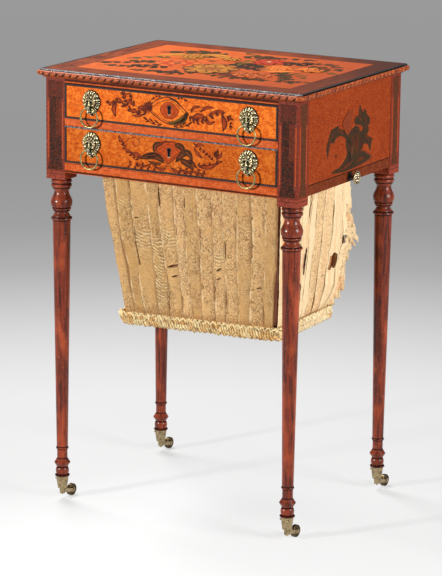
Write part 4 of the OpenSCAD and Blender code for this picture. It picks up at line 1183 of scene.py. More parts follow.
class Inlay:                                       # flat shapes laid on one face of the table
    def __init__(self, name, matrix):
        self.name = name
        self.matrix = matrix
        self.form = newForm(colours=["tint"])
        self.count = 0

    def level(self):
        self.count += 1
        return inlaySettings["proud"] + inlaySettings["layer"] * (self.count % inlaySettings["layers"])

    def blade(self, points, width, wood, fullness=0.8, shade=0.5, steps=12, vein=None):
        # a leaf or petal, darker towards its root and on one side, as if scorched in sand
        path = flatPath(points)
        level = self.level()
        tint = woods[wood]

        def place(u, v):
            spot, ahead = alongPath(path, u)
            reach = width / 2 * math.sin(math.pi * u ** 0.85) ** fullness
            across = sideways(ahead) * reach * (2 * v - 1)
            return spot + across + Vector((0, 0, level))

        def values(u, v):
            tone = 1 - shade * (1 - softStep(0, 0.55, u)) - 0.45 * shade * v
            return {"tint": tuple(part * tone for part in tint)}

        addPatch(self.form, steps, 4, place, values)
        if vein:
            middle = [alongPath(path, share)[0].to_2d() for share in (0.15, 0.5, 0.88)]
            self.line(middle, min(width * 0.12, 0.9), vein, 0.6)

    def leafMass(self, points, width, wood, teeth, vein="rust"):
        # a wide leaf with ragged edges: lobes set along a spine
        path = flatPath(points)
        for k in range(teeth):
            share = (k + 0.5) / teeth
            spot, ahead = alongPath(path, share)
            full = width * math.sin(math.pi * min(share ** 0.8, 0.98)) ** 0.6
            for way in (-1, 1):
                out = sideways(ahead) * way
                reach = 0.52 + 0.14 * ripple(k * 2.1, way, width)
                tip = spot + out * full * reach + ahead * width * 0.30
                bend = spot + out * full * 0.30 + ahead * width * 0.05
                root = spot - ahead * width * 0.1
                self.blade([root, bend, tip], width * 0.42, wood, 0.6, 0.3, 7, vein)
        end, ahead = alongPath(path, 0.82)
        tip, _ = alongPath(path, 1)
        self.blade([end, (end + tip) / 2, tip + ahead * width * 0.15], width * 0.5, wood,
                   0.7, 0.3, 8, vein)

    def line(self, points, width, wood, thin=0.0, steps=0):
        path = flatPath(points)
        level = self.level()

        def place(u, v):
            spot, ahead = alongPath(path, u)
            reach = width / 2 * (1 - thin * u)
            return spot + sideways(ahead) * reach * (2 * v - 1) + Vector((0, 0, level))

        addPatch(self.form, steps or 4 * len(points), 1, place, lambda u, v: {"tint": woods[wood]})

    def outline(self, points, wood, steps=3):      # a closed shape cut to a line of points
        path = flatPath((*points, points[0]), steps)[:-1]
        if sum(a.x * b.y - b.x * a.y for a, b in zip(path, path[1:])) < 0:
            path.reverse()
        level = self.level()
        made = bmesh.ops.create_circle(self.form, cap_ends=True, segments=len(path), radius=1)["verts"]
        made.sort(key=lambda vert: math.atan2(vert.co.y, vert.co.x))
        for vert, spot in zip(made, path):
            vert.co = spot + Vector((0, 0, level))
            setValue(self.form, vert, "tint", woods[wood])
        for face in list({face for vert in made for face in vert.link_faces}):
            face.normal_update()
            bmesh.ops.triangulate(self.form, faces=[face])

    def pod(self, points, width, rim="plum", inside="deep"):
        # a leaf drawn as a dark rim round a redder heart with a dark vein
        self.blade(points, width, rim, 0.75, 0.0)
        path = flatPath(points)
        inner = [alongPath(path, share)[0].to_2d() for share in (0.12, 0.5, 0.86)]
        self.blade(inner, width * 0.52, inside, 0.75, 0.2)
        self.line(inner, min(width * 0.16, 0.9), rim, 0.5)

    def band(self, corner, size, wood):            # a straight upright or level strip
        level = self.level()
        cols = max(1, round(size[0] / 12))
        rows = max(1, round(size[1] / 12))
        addPatch(self.form, cols, rows,
                 lambda u, v: (corner[0] + size[0] * u, corner[1] + size[1] * v, level),
                 lambda u, v: {"tint": woods[wood]})

    def disc(self, middle, radii, wood, rim=0.55, turn=0.0, wave=0.0, waves=5):
        level = self.level()
        tint = woods[wood]

        def place(u, v):
            angle = 2 * math.pi * u
            reach = (0.02 + 0.98 * v) * (1 + wave * math.cos(waves * angle))
            x, y = radii[0] * reach * math.cos(angle), radii[1] * reach * math.sin(angle)
            return (middle[0] + x * math.cos(turn) - y * math.sin(turn),
                    middle[1] + x * math.sin(turn) + y * math.cos(turn), level)

        addPatch(self.form, 24, 4, lambda u, v: place(u, 1 - v),
                 lambda u, v: {"tint": tuple(part * (1 - rim * (1 - v) ** 2) for part in tint)})

    def bloom(self, middle, radius, wood, under, heart, petals=7, turn=0.0, squash=1.0, second=None):
        # three rings of petals, each petal with a dark edge
        self.disc(middle, (radius * 0.9, radius * 0.9 * squash), under, 0.3, 0, 0.06, petals)
        rings = ((0.45, 1.0, 0, wood), (0.28, 0.74, 0.5, second or wood), (0.08, 0.46, 0.2, wood))
        for start, reach, shift, tint in rings:
            for k in range(petals):
                angle = turn + 2 * math.pi * (k + shift) / petals
                spots = []
                for share, lean in ((start, 0), ((start + reach) / 2, 0.20), (reach, 0.08)):
                    away = radius * share
                    spots.append(Vector((middle[0] + away * math.cos(angle + lean),
                                         middle[1] + away * squash * math.sin(angle + lean))))
                wide = radius * reach * 5.2 / petals
                self.blade(spots, wide * 1.08, under, 0.55, 0, 8)
                spots[2] = spots[2].lerp(spots[1], 0.10)
                self.blade(spots, wide * 0.88, tint, 0.6, 0.4, 8)
        self.disc(middle, (radius * 0.16, radius * 0.16 * squash), heart, 0.5)

    def sprig(self, points, wood, leaf, pairs, reach, width, seed=0.0):
        # a stem with leaves to both sides
        self.line(points, 0.9, wood, 0.5)
        path = flatPath(points)
        for k in range(pairs):
            spot, ahead = alongPath(path, (k + 0.6) / pairs)
            for way in (-1, 1):
                size = reach * (0.7 + 0.6 * abs(ripple(seed + k * 1.7, way * 2.1, 0.4)))
                lean = sideways(ahead) * way * (0.75 + 0.5 * ripple(seed, k * 2.3, way))
                away = (ahead + lean).normalized()
                middle = spot + away * size * 0.55 + ahead * size * 0.1
                tip = spot + away * size
                self.blade([spot, middle, tip], width, leaf, 0.9, 0.35, 7)
        end, ahead = alongPath(path, 1)
        tip = end + ahead * reach
        self.blade([end, (end + tip) / 2, tip], width, leaf, 0.9, 0.35, 7)

    def settled(self, body, finish="inlay"):
        piece = settle(self.form, self.name, finish, body, self.matrix, 0, False, False)
        return thicken(piece, inlaySettings["wall"])


def makeTopMarquetry():
    top = Inlay("top_marquetry", Matrix.Translation((0, 0, table["top"])))
    x, y = table["field"]
    for wood, out, wide in (("black", 0.6, 1.2), ("rust", -0.8, 1.2)):
        for way in (-1, 1):
            top.band((-x - out, way * (y + out) - wide / 2), (2 * (x + out), wide), wood)
            top.band((way * (x + out) - wide / 2, -y - out), (wide, 2 * (y + out)), wood)
    # sprays first, then leaves, then the flowers over them
    for points, leaf, pairs, reach, width, seed in (
        ([(-112, -20), (-140, -44), (-168, -64), (-184, -74)], "leaf", 6, 20, 9, 1),
        ([(-90, -40), (-112, -66), (-128, -88), (-156, -96)], "leaf", 6, 19, 9, 2),
        ([(-110, 20), (-140, 22), (-166, -6)], "olive", 4, 20, 9, 3),
        ([(100, 73), (122, 96), (150, 96), (178, 62)], "leaf", 6, 17, 9, 4),
        ([(84, 20), (112, -10), (138, -44), (168, -88)], "leaf", 7, 21, 11, 5),
        ([(40, -84), (84, -100), (128, -100), (186, -82)], "leaf", 6, 17, 8, 6),
        ([(-44, 92), (-78, 112), (-104, 110), (-150, 80)], "leaf", 5, 20, 10, 7),
        ([(20, 96), (48, 118), (88, 126)], "leaf", 4, 18, 9, 8),
        ([(-30, -84), (-52, -108), (-96, -116)], "leaf", 5, 18, 9, 9),
        ([(120, 40), (148, 36), (186, 22)], "olive", 4, 16, 8, 10),
        ([(-20, 100), (-8, 124), (-28, 136)], "olive", 3, 14, 7, 14),
    ):
        top.sprig(points, "black", leaf, pairs, reach, width, seed)
    for points, width, wood, teeth in (
        ([(-50, 66), (-92, 106), (-150, 78)], 30, "leaf", 6),
        ([(-84, -10), (-122, -30), (-158, -38)], 20, "leaf", 5),
        ([(0, 26), (36, 16), (76, -8)], 34, "black", 5), ([(8, 50), (30, 96), (10, 124)], 24, "leaf", 5),
        ([(10, -84), (62, -104), (122, -92)], 17, "leaf", 6),
        ([(-8, -86), (-34, -118), (-72, -106)], 19, "black", 5),
        ([(98, -20), (136, -46), (150, -84)], 17, "leaf", 5),
        ([(64, 84), (92, 70), (108, 100)], 26, "black", 4),
        ([(-70, -62), (-98, -78), (-132, -74)], 20, "black", 4),
        ([(108, -4), (146, -20), (172, -48)], 14, "olive", 4),
        ([(-20, 92), (8, 112), (40, 112)], 22, "leaf", 4),
        ([(120, 66), (146, 62), (166, 40)], 18, "leaf", 4),
    ):
        top.leafMass(points, width * 1.3, wood, teeth, "olive")
    for points, width, wood in (
        ([(-70, 40), (-118, 62), (-152, 28)], 26, "yellow"),
        ([(-66, 50), (-92, 74), (-124, 60)], 24, "ochre"),
        ([(-30, 60), (-58, 86), (-92, 84)], 26, "yellow"), ([(-62, 60), (-82, 40), (-112, 26)], 18, "ochre"),
        ([(-8, 52), (-30, 70), (-54, 66)], 20, "yellow"), ([(-6, 40), (16, 56), (10, 84)], 15, "ochre"),
        ([(40, -66), (82, -78), (124, -70)], 24, "rust"), ([(30, -50), (70, -52), (104, -58)], 20, "orange"),
        ([(24, -70), (58, -84), (92, -84)], 15, "brown"), ([(60, 4), (84, 14), (112, 36)], 28, "pale"),
        ([(66, -6), (96, -6), (126, 8)], 22, "pale"), ([(104, 34), (124, 38), (142, 60)], 18, "pale"),
        ([(56, 30), (74, 34), (94, 52)], 18, "pale"), ([(-36, 24), (-52, 46), (-66, 40)], 20, "orange"),
        ([(-60, 10), (-84, 18), (-104, 4)], 18, "rust"), ([(28, 44), (14, 30), (20, 8)], 12, "olive"),
    ):
        top.blade(points, width, wood, 0.7, 0.6, 14, "brown")
    top.leafMass([(-64, -82), (0, -92), (62, -98), (116, -104)], 9, "black", 5, "olive")
    top.bloom((-78, -22), 38, "orange", "rust", "umber", 8, 0.3, 1.0, "red")
    top.bloom((-3, -42), 46, "ochre", "umber", "rust", 8, 0.1, 1.15, "yellow")
    top.bloom((43, 72), 28, "red", "brown", "cream", 7, 0.5, 1.1)
    top.bloom((88, 22), 20, "pale", "rust", "ochre", 6, 0.2, 1.1)
    top.bloom((148, 28), 19, "pale", "umber", "ochre", 5, 0.4, 0.9, "orange")
    top.bloom((86, -66), 34, "orange", "brown", "umber", 8, 0.2, 0.72, "rust")
    top.bloom((-92, 56), 18, "yellow", "olive", "rust", 6, 0.7, 1.2, "ochre")
    top.bloom((-22, 62), 14, "yellow", "umber", "rust", 5, 0.1, 1.2)
    top.settled("root")


def makeUpperMarquetry():
    front = Inlay("upper_drawer_marquetry", onFace(0, table["front"]))
    eye = [(-40, 688), (-30, 700), (-15, 708), (0, 711), (15, 704), (28, 693), (36, 687)]
    under = [(-40, 688), (-27, 679), (-12, 671), (4, 667), (19, 673), (30, 682), (36, 687)]
    addCartouche(front, [(-15, 695), (-3, 704), (10, 699), (18, 688), (7, 676), (-8, 677), (-17, 687)], 690)
    for points, wide, wood in (
        (eye, 1.6, "plum"), (under, 1.6, "plum"),
        ([(-36, 688), (-22, 699), (-8, 705), (4, 705), (16, 698), (29, 687)], 0.8, "umber"),
        ([(-36, 688), (-24, 680), (-10, 674), (4, 671), (16, 677), (29, 687)], 0.8, "umber"),
        ([(-15, 695), (-3, 703), (10, 698), (17, 688), (6, 678), (-8, 678), (-16, 687), (-15, 695)],
         1.1, "brown"),
        ([(-10, 692), (-1, 699), (8, 694), (11, 688), (4, 681), (-6, 682), (-10, 692)], 0.9, "brown"),
        ([(-30, 697), (-38, 699), (-46, 694)], 0.9, "brown"),
        ([(34, 693), (50, 698), (69, 701), (77, 695), (68, 687), (50, 684)], 1.1, "brown"),
        ([(40, 690), (52, 694), (66, 695)], 0.7, "brown"),
    ):
        front.line(points, wide, wood, 0, 30)
    front.blade([(34, 691), (28, 679), (14, 671), (-4, 670)], 10, "olive", 0.7, 0.7)
    front.blade([(33, 688), (24, 675), (7, 669)], 4.5, "black", 0.7, 0.1)
    front.blade([(-2, 709), (12, 706), (26, 694)], 3.5, "umber", 0.7, 0.1)
    for points, pairs, reach, width, seed in (
        ([(-36, 682), (-56, 682), (-75, 686), (-92, 695), (-101, 694)], 8, 9.5, 4.0, 1),
        ([(-74, 688), (-82, 697), (-86, 708)], 4, 8, 3.6, 2),
        ([(-60, 690), (-70, 698), (-72, 705)], 3, 7, 3.2, 5),
        ([(34, 686), (44, 679), (58, 677), (74, 684), (91, 693), (110, 688)], 9, 9.5, 4.0, 3),
        ([(-100, 690), (-108, 689), (-114, 692)], 3, 6, 3.0, 4),
        ([(104, 690), (112, 682), (113, 675)], 3, 6, 3.0, 7),
        ([(12, 709), (21, 712), (30, 709)], 3, 5, 2.6, 6),
        ([(-12, 709), (-22, 711), (-30, 706)], 3, 4.5, 2.4, 8),
    ):
        front.sprig(points, "brown", "brown", pairs, reach, width, seed)
    for points, width in (
        ([(-42, 684), (-50, 689), (-60, 688)], 8), ([(-56, 680), (-67, 683), (-78, 681)], 6.5),
        ([(-46, 680), (-58, 675), (-70, 676)], 5), ([(42, 680), (54, 686), (68, 684)], 9),
        ([(56, 692), (70, 701), (82, 701)], 5.4), ([(-99, 694), (-104, 682), (-100, 669)], 8.5),
        ([(97, 691), (102, 678), (99, 665)], 10), ([(72, 686), (82, 694), (92, 700)], 5),
        ([(-64, 690), (-74, 697), (-84, 697)], 5.5), ([(-84, 690), (-93, 699), (-100, 700)], 5),
        ([(62, 682), (74, 676), (86, 680)], 5.5), ([(40, 690), (46, 699), (58, 702)], 5),
        ([(-86, 700), (-82, 708), (-72, 710)], 4.5), ([(84, 692), (94, 697), (104, 695)], 4.5),
    ):
        front.pod(points, width)
    for k in range(8):                             # a fan of feathers by the cartouche
        angle = math.radians(100 + 13 * k)
        tip = (-33 + 21 * math.cos(angle), 687 + 17 * math.sin(angle))
        bend = ((-33 + tip[0]) / 2 + 1, (686 + tip[1]) / 2 + 1)
        front.blade([(-33, 686), bend, tip], 4.2, "plum", 0.9, 0.2, 8, "deep")
    for x, way in ((-28, -1), (22, 1)):            # leafy scrolls under it
        front.line([(x + way * -14, 666), (x, 664), (x + way * 10, 669), (x + way * 18, 675)], 1.1, "brown")
        for k in range(6):
            start = (x + way * (5.5 * k - 14), 665 + 0.9 * k)
            tip = (start[0] + way * 8, start[1] + (5.5 if k % 2 else -2.5))
            bend = ((start[0] + tip[0]) / 2, (start[1] + tip[1]) / 2 + 1)
            front.blade([start, bend, tip], 3.4, "brown", 0.9)
    addKeyholeRim(front, 690)
    front.settled("upper_drawer")


def addCartouche(front, points, level):            # red wood in two halves, open at the keyhole
    for way in (-1, 1):
        half = [(x, y) for x, y in points if x * way > 3.5]
        half.sort(key=lambda spot: -spot[1])
        top, foot = max(y for x, y in points), min(y for x, y in points)
        front.outline([(0, top - 0.5), *half, (0, foot + 0.5), (0, level - 8.2), (way * 3.4, level - 7.5),
                       (way * 3.4, level), (way * 3.4, level + 7), (0, level + 8)], "deep", 2)


# painted highlight: a pale line along the escutcheon's rim, mostly under it
def addKeyholeRim(front, level):                   # the pale line that shows round the escutcheon
    front.line([(-2.2, level - 6.5), (0, level - 8), (2.2, level - 6.5)], 1.0, "cream", 0, 8)
    front.line([(-2.6, level - 6), (-2.3, level), (-3.4, level + 4)], 0.5, "cream", 0, 8)


def makeLowerMarquetry():
    front = Inlay("lower_drawer_marquetry", onFace(0, table["front"]))
    addCartouche(front, [(-26, 621), (-17, 633), (-2, 639), (15, 637), (27, 624), (12, 612),
                         (-1, 602), (-12, 612)], 621)
    for points, width, wood in (
        ([(-8, 603), (-24, 613), (-40, 611), (-56, 606)], 12, "umber"),
        ([(-20, 616), (-34, 613), (-50, 612)], 7, "black"),
        ([(-14, 602), (-26, 600), (-40, 604)], 6, "umber"),
        ([(12, 606), (26, 622), (37, 623), (44, 611)], 12, "umber"),
        ([(20, 612), (33, 607), (47, 598)], 11, "umber"), ([(34, 612), (42, 610), (52, 602)], 6, "black"),
        ([(-28, 619), (-24, 631), (-10, 635)], 10, "umber"), ([(10, 635), (23, 632), (29, 618)], 11, "umber"),
        ([(-20, 633), (-8, 638), (4, 638)], 3.6, "brown"),
    ):
        front.blade(points, width, wood, 0.65, 0.2, 12, "rust")
    for points, wide in (
        ([(-26, 622), (-17, 633), (-2, 639), (15, 637), (27, 625)], 1.7),
        ([(-20, 623), (-10, 630), (-1, 634), (10, 631), (19, 623)], 1.0),
        ([(-23, 622), (-12, 612), (-1, 603), (10, 612), (23, 622)], 1.7),
        ([(-17, 621), (-9, 614), (-1, 607), (8, 614), (16, 621)], 1.0),
        ([(-10, 624), (-5, 628), (4, 628), (9, 623)], 0.8),
        ([(-84, 629), (-74, 637), (-61, 639), (-55, 632), (-61, 625), (-68, 629), (-64, 635)], 1.1),
        ([(-57, 637), (-50, 642), (-44, 638)], 1.0), ([(-84, 624), (-76, 628), (-72, 624)], 0.8),
        ([(54, 624), (60, 630), (67, 628), (65, 620), (57, 620), (54, 624)], 1.0),
        ([(-30, 597), (-14, 590), (-1, 600), (12, 590), (32, 597)], 1.2),
        ([(-22, 600), (-10, 596), (-1, 604), (9, 596), (20, 600)], 0.9),
    ):
        front.line(points, wide, "brown", 0, 22)
    for points, pairs, reach, width, seed in (
        ([(-52, 604), (-67, 609), (-81, 619), (-91, 632)], 7, 8, 3.6, 11),
        ([(40, 603), (54, 606), (70, 608), (92, 615)], 5, 8, 3.4, 12),
        ([(84, 616), (70, 626), (50, 638)], 6, 6.5, 3.0, 13),
        ([(88, 618), (92, 624), (90, 632)], 3, 5, 2.4, 15),
    ):
        front.sprig(points, "brown", "brown", pairs, reach, width, seed)
    for points, width in (
        ([(54, 604), (74, 605), (94, 615)], 7), ([(-50, 606), (-60, 613), (-72, 612)], 6),
        ([(-66, 613), (-80, 618), (-86, 628)], 5), ([(-84, 628), (-92, 634), (-93, 641)], 5),
        ([(62, 618), (52, 626), (46, 634)], 5), ([(48, 634), (56, 640), (66, 638)], 5),
        ([(86, 620), (94, 624), (98, 632)], 5), ([(-62, 598), (-50, 594), (-38, 597)], 5.5),
        ([(22, 596), (34, 592), (44, 596)], 5.5), ([(-26, 596), (-14, 592), (-4, 596)], 5),
        ([(4, 596), (14, 592), (24, 592)], 5), ([(46, 596), (56, 592), (64, 594)], 5),
    ):
        front.pod(points, width)
    front.bloom((87, 627), 5.0, "brown", "umber", "black", 5)
    for k, x in enumerate((-76, -64, -52, -40, -28, 18, 30, 40, 52, 62)):
        stem = [(x, 602 - 4 * (k % 2)), (x + 4, 596), (x + 1, 590.5)]
        front.sprig(stem, "brown", "brown", 3, 5.2, 2.7, k + 20)
    addKeyholeRim(front, 621)
    front.settled("lower_drawer")


def makeSideMarquetry(name, turn, mirror):
    side = Inlay(name, onFace(turn, table["side"]))

    def flip(points):
        return [(mirror * x, y) for x, y in points]

    side.outline(flip([(-8, 688), (6, 684), (7, 678), (2, 670), (-2, 661), (-7, 648), (-16, 649), (-29, 665),
                       (-27, 673), (-18, 680)]), "faint")
    side.outline(flip([(40, 613), (48, 613), (62, 608), (78, 601), (82, 594), (62, 590), (30, 590),
                       (36, 602)]), "faint")
    side.outline(flip([
        (-78, 617), (-84, 632), (-79, 647), (-69, 662), (-58, 665), (-43, 667), (-41, 662), (-25, 657),
        (-14, 650), (-9, 649), (0, 651), (4, 656), (8, 654), (16, 659), (21, 656), (29, 655),
        (35, 646), (42, 647), (44, 652), (36, 656), (21, 659), (11, 666), (19, 672), (28, 675),
        (28, 682), (34, 690), (38, 682), (46, 676), (49, 682), (55, 677), (59, 670), (70, 663),
        (69, 655), (64, 651), (67, 643), (60, 637), (71, 631), (80, 627), (76, 619), (74, 610),
        (68, 612), (65, 619), (56, 622), (51, 624), (43, 617), (40, 612), (48, 612), (60, 606),
        (74, 600), (72, 595), (52, 592), (22, 589), (-4, 588), (-24, 588), (-50, 590), (-66, 592),
        (-52, 596), (-36, 598), (-26, 603), (-15, 610), (-11, 618), (-15, 628), (-16, 638), (-19, 643),
        (-30, 648), (-42, 649), (-52, 646), (-57, 641), (-68, 642), (-72, 636), (-75, 629)]), "smoke", 2)
    for points, width, wood in (
        ([(-76, 628), (-70, 648), (-52, 658)], 5, "umber"),
        ([(-48, 660), (-34, 656), (-22, 650)], 5, "umber"),
        ([(2, 646), (14, 630), (10, 606)], 8, "umber"), ([(30, 646), (24, 626), (30, 604)], 9, "umber"),
        ([(36, 684), (32, 670), (44, 660)], 5, "umber"), ([(52, 672), (56, 658), (54, 646)], 4, "umber"),
        ([(52, 640), (62, 632), (70, 622)], 6, "umber"), ([(-40, 593), (-10, 596), (14, 602)], 7, "umber"),
        ([(20, 596), (38, 600), (56, 598)], 7, "umber"), ([(-8, 640), (2, 622), (-2, 604)], 5, "black"),
        ([(16, 652), (22, 640), (18, 622)], 4, "black"), ([(44, 640), (40, 626), (44, 616)], 5, "black"),
    ):
        side.pod(flip(points), width, wood, "brown")
    side.disc((mirror * -50, 618), (2.6, 2.6), "umber", 0.2, 0, 0.3, 4)
    side.line(flip([(2.5, 612), (4.5, 619), (6.5, 625), (8.5, 620), (6.5, 611), (4, 607.5)]),
              0.5, "dot", 0, 14)
    side.band((-145, 584.6), (290, 1.5), "black")
    side.settled("root")


chequer = {
    "edge": 195.0,          # from the middle to the outer side of the line
    "line": 0.9,            # width of the upright lines and of the squares in them
    "pitch": 4,
    "square": 1.4,
    "levels": {"upper": (658.8, 715.2), "lower": (585.3, 646.2)},
}


def makeChequers():
    # small light squares on a black line, round the inside of each bead
    edge, wide, pitch, square = (chequer[key] for key in ("edge", "line", "pitch", "square"))
    for drawer, (low, high) in chequer["levels"].items():
        line = Inlay(drawer + "_drawer_chequer", onFace(0, table["front"]))
        for x in (-edge, edge - wide):
            line.band((x, low + 2.4), (wide, high - low - 4.8), "black")
        line.band((-edge, low + 2.4), (2 * edge, 1.1), "black")
        for k in range(int(2 * edge / pitch)):
            line.band((-edge + 1.2 + pitch * k, low + 2.5), (square, wide), "dot")
        for k in range(int((high - low - 6) / pitch)):
            for x in (-edge, edge - wide):
                line.band((x, low + 4.5 + pitch * k), (wide, square), "dot")
        line.settled(drawer + "_drawer")


pilaster = {
    "axis": (216, 163),
    "low": 571,
    "foot": 590,
    "neck": 690,
    "high": 719,
    "front": (11, 14.5),    # half width of the shaft, and of the capital and the foot
    "side": (7.5, 11),
    "fluteFrom": 2,
}


def addPilaster(form, middle, halves, flutes):
    shaft, capital = halves
    low, foot, neck, high = (pilaster[key] for key in ("low", "foot", "neck", "high"))

    def half(level):
        top = softStep(neck - 4, neck + 4, level) * (1 - 0.25 * softStep(neck + 4, neck + 8, level))
        top += 0.25 * softStep(high - 8, high - 6, level)
        base = 1 - softStep(low, foot, level)
        return shaft + (capital - shaft) * max(top, base)

    def place(u, v):
        level = low + (high - low) * v
        return (middle + half(level) * (2 * u - 1), level, 0.1)

    def values(u, v):
        x = half(low + (high - low) * v) * (2 * u - 1)
        tint = Vector((0.030, 0.016, 0.010)) if flutes else Vector((0.085, 0.034, 0.013))
        if flutes and x > pilaster["fluteFrom"] and 0.40 < v < 0.80:
            tint = tint.lerp(Vector((0.22, 0.04, 0.016)), 0.5 + 0.5 * math.cos(x * 2.5))
        if flutes and v > 0.82:
            tint = Vector((0.10, 0.026, 0.016))
        return {"tint": tuple(tint)}

    addPatch(form, 28, 70, place, values)


def makePilasters():
    axisX, axisY = pilaster["axis"]
    foot, neck = pilaster["foot"], pilaster["neck"]
    faces = (
        ("front", 0, table["front"], (-axisX, axisX), "front", True),
        ("right", 90, table["legSide"], (-axisY, axisY), "side", False),
        ("left", -90, table["legSide"], (-axisY, axisY), "side", False),
    )
    for name, turn, distance, middles, halves, flutes in faces:
        form = newForm(colours=["tint"])
        strings = Inlay(name + "_leg_stringing", onFace(turn, distance))
        for middle in middles:
            addPilaster(form, middle, pilaster[halves], flutes)
            reach = pilaster[halves][1] + 1.4
            for way in (-1, 1):
                strings.band((middle + way * (reach - 1.8) - 0.9, foot), (1.8, neck - foot - 6), "string")
            strings.band((middle - 17.5, 563.5), (35, 0.8), "black")
            strings.band((middle - 17.5, 568.4), (35, 0.8), "brown")
        piece = settle(form, name + "_leg_pilasters", "pilaster", "root", onFace(turn, distance), 0,
                       False, False)
        thicken(piece, inlaySettings["wall"])
        strings.settled("root")


def makeRailLines():
    lines = Inlay("rail_stringing", onFace(0, table["front"]))
    lines.band((-198, 569.3), (396, 1.0), "black")
    lines.band((-198, 583.2), (396, 0.7), "brown")
    lines.settled("root")


makeTopMarquetry()
makeUpperMarquetry()
makeLowerMarquetry()
makeSideMarquetry("right_side_marquetry", 90, 1)
makeSideMarquetry("left_side_marquetry", -90, -1)
makeChequers()
makePilasters()
makeRailLines()
print("marquetry laid")


# Silk bag

bag = {
    "middle": 8.5,
    "top": 569,
    "foot": 326,
    "mouth": (331, 250),
    "taper": (45, 68),      # how much narrower it is at the foot
    "belly": 2.5,
    "corner": 5,
    "rows": 110,
    "faceSteps": 9,         # columns of one pleat, on its face and under it
    "underSteps": 3,
    "lap": 0.12,
    "lie": 0.3,
    "depth": 1.25,
    "wall": 0.36,
    "pleats": (13, 9, 13, 9),                      # front, right, back, left
    "uneven": 0.32,         # how unequal the pleats are
    "seamGap": (0.8, 6.5),  # the open seam at the front right, at the top and at the foot
    "leftFlare": 6.5,       # how far the mouth is pulled to the left
    # of the foot: front left, front right, back right, back left
    "sag": (-7, 1.5, 2, -3),
}
bagTall = bag["top"] - bag["foot"]
# slits down the cloth: side, pleat, place on its face, upper and lower share, width
slits = (
    (1, 5, 3, 0.05, 0.30, 2.0), (1, 5, 4, 0.46, 0.67, 8.0), (1, 5, 6, 0.72, 0.93, 8.5),
)
# short slits across it: side, pleat, first and last place on its face, share, width
gashes = ((0, 8, 1, 8, 0.615, 3.6), (0, 8, 2, 6, 0.69, 2.2), (0, 4, 3, 8, 0.60, 2.4), (0, 4, 4, 8, 0.66, 1.8),
          (0, 10, 5, 8, 0.30, 1.6), (1, 2, 3, 6, 0.73, 1.5), (0, 1, 3, 6, 0.70, 1.6))
# strips at the torn corner: share down the bag, length, width, lift
shreds = (
    (0.31, 6, 20, -0.1), (0.37, 10, 18, 0), (0.42, 15, 15, -0.2), (0.455, 19, 11, -0.5),
    (0.48, 15, 9, -1.0), (0.54, 8, 17, -0.2), (0.61, 6, 19, 0.1), (0.68, 5, 19, 0),
    (0.75, 7, 18, -0.1), (0.82, 7, 18, 0.1), (0.88, 7, 16, -0.2), (0.94, 7, 12, 0),
)
# holes: side, place along it, share down it, half width, half height
holes = ((1, 0.845, 0.64, 0.055, 0.058), (1, 0.945, 0.50, 0.05, 0.03), (1, 0.985, 0.78, 0.035, 0.06))
# puckered folds: side, pleat, top and foot in mm below the mouth, spacing, strength
puckers = ((0, 9, 98, 218, 7.4, 2.0), (0, 8, 80, 122, 7.0, 1.5), (0, 10, 88, 130, 7.4, 1.4),
           (0, 4, 114, 150, 7.5, 1.5), (1, 6, 96, 130, 7.0, 1.2), (0, 7, 118, 148, 7.0, 1.1),
           (0, 2, 60, 84, 7.0, 0.9), (0, 11, 40, 70, 8.0, 0.9))


def bagHalves(share):
    belly = bag["belly"] * math.sin(math.pi * share)
    return [(whole - taper * share) / 2 + belly for whole, taper in zip(bag["mouth"], bag["taper"])]


def sagAt(x, y, share):                            # the foot hangs lowest at the front left
    left, back = 0.5 - x / 300, 0.5 + y / 200
    frontLeft, frontRight, backRight, backLeft = bag["sag"]
    front = frontRight + (frontLeft - frontRight) * left
    rear = backRight + (backLeft - backRight) * left
    return (front + (rear - front) * back) * share ** 1.5


def bagSpot(side, along, share, out):              # side 0 front, 1 right, 2 back, 3 left
    halfX, halfY = bagHalves(share)
    corner = bag["corner"]
    bend = corner * math.pi / 2
    runs = [2 * (halfX - corner), 2 * (halfY - corner)] * 2
    start = sum(runs[:side]) + side * bend - bend / 2
    spot, away = outlineSpot(halfX, halfY, corner, start + along * (runs[side] + bend))
    level = bag["top"] + (bag["foot"] - bag["top"]) * share + sagAt(spot.x, spot.y, share)
    spot.x -= bag["leftFlare"] * (1 - share) ** 2 * softStep(40, 150, -spot.x)
    return Vector((*(spot + away * out), level)), away


def hangingCorner(side, along, share):             # the torn corner at the back right
    if side == 1:
        near = softStep(0.66, 1.0, along)
    elif side == 2:
        near = 1 - softStep(0.0, 0.16, along)
    else:
        return Vector((0, 0, 0))
    out = 13 * softStep(0, 0.4, share) + 9 * hill(share, 0, 0.52, 0, 0.08, 1)
    out += 8 * softStep(0.55, 0.7, share)
    out *= 1 - 0.95 * softStep(0.86, 1.0, share)
    loose = softStep(0.1, 0.4, share) * (1 - softStep(0.88, 0.97, share))
    out += 6 * ripple(share * 13, side * 3, 0.7) * loose
    if side == 2:
        return Vector((0.1, 0.35, 0)) * out * near
    return Vector((0.75, 0.55, 0)) * out * near


def settleOnBag(form, name, finish, weld=0, outward=False):
    middle = Matrix.Translation((bag["middle"], 0, 0))
    return settle(form, name, finish, "bag_slide", middle, weld, outward=outward)


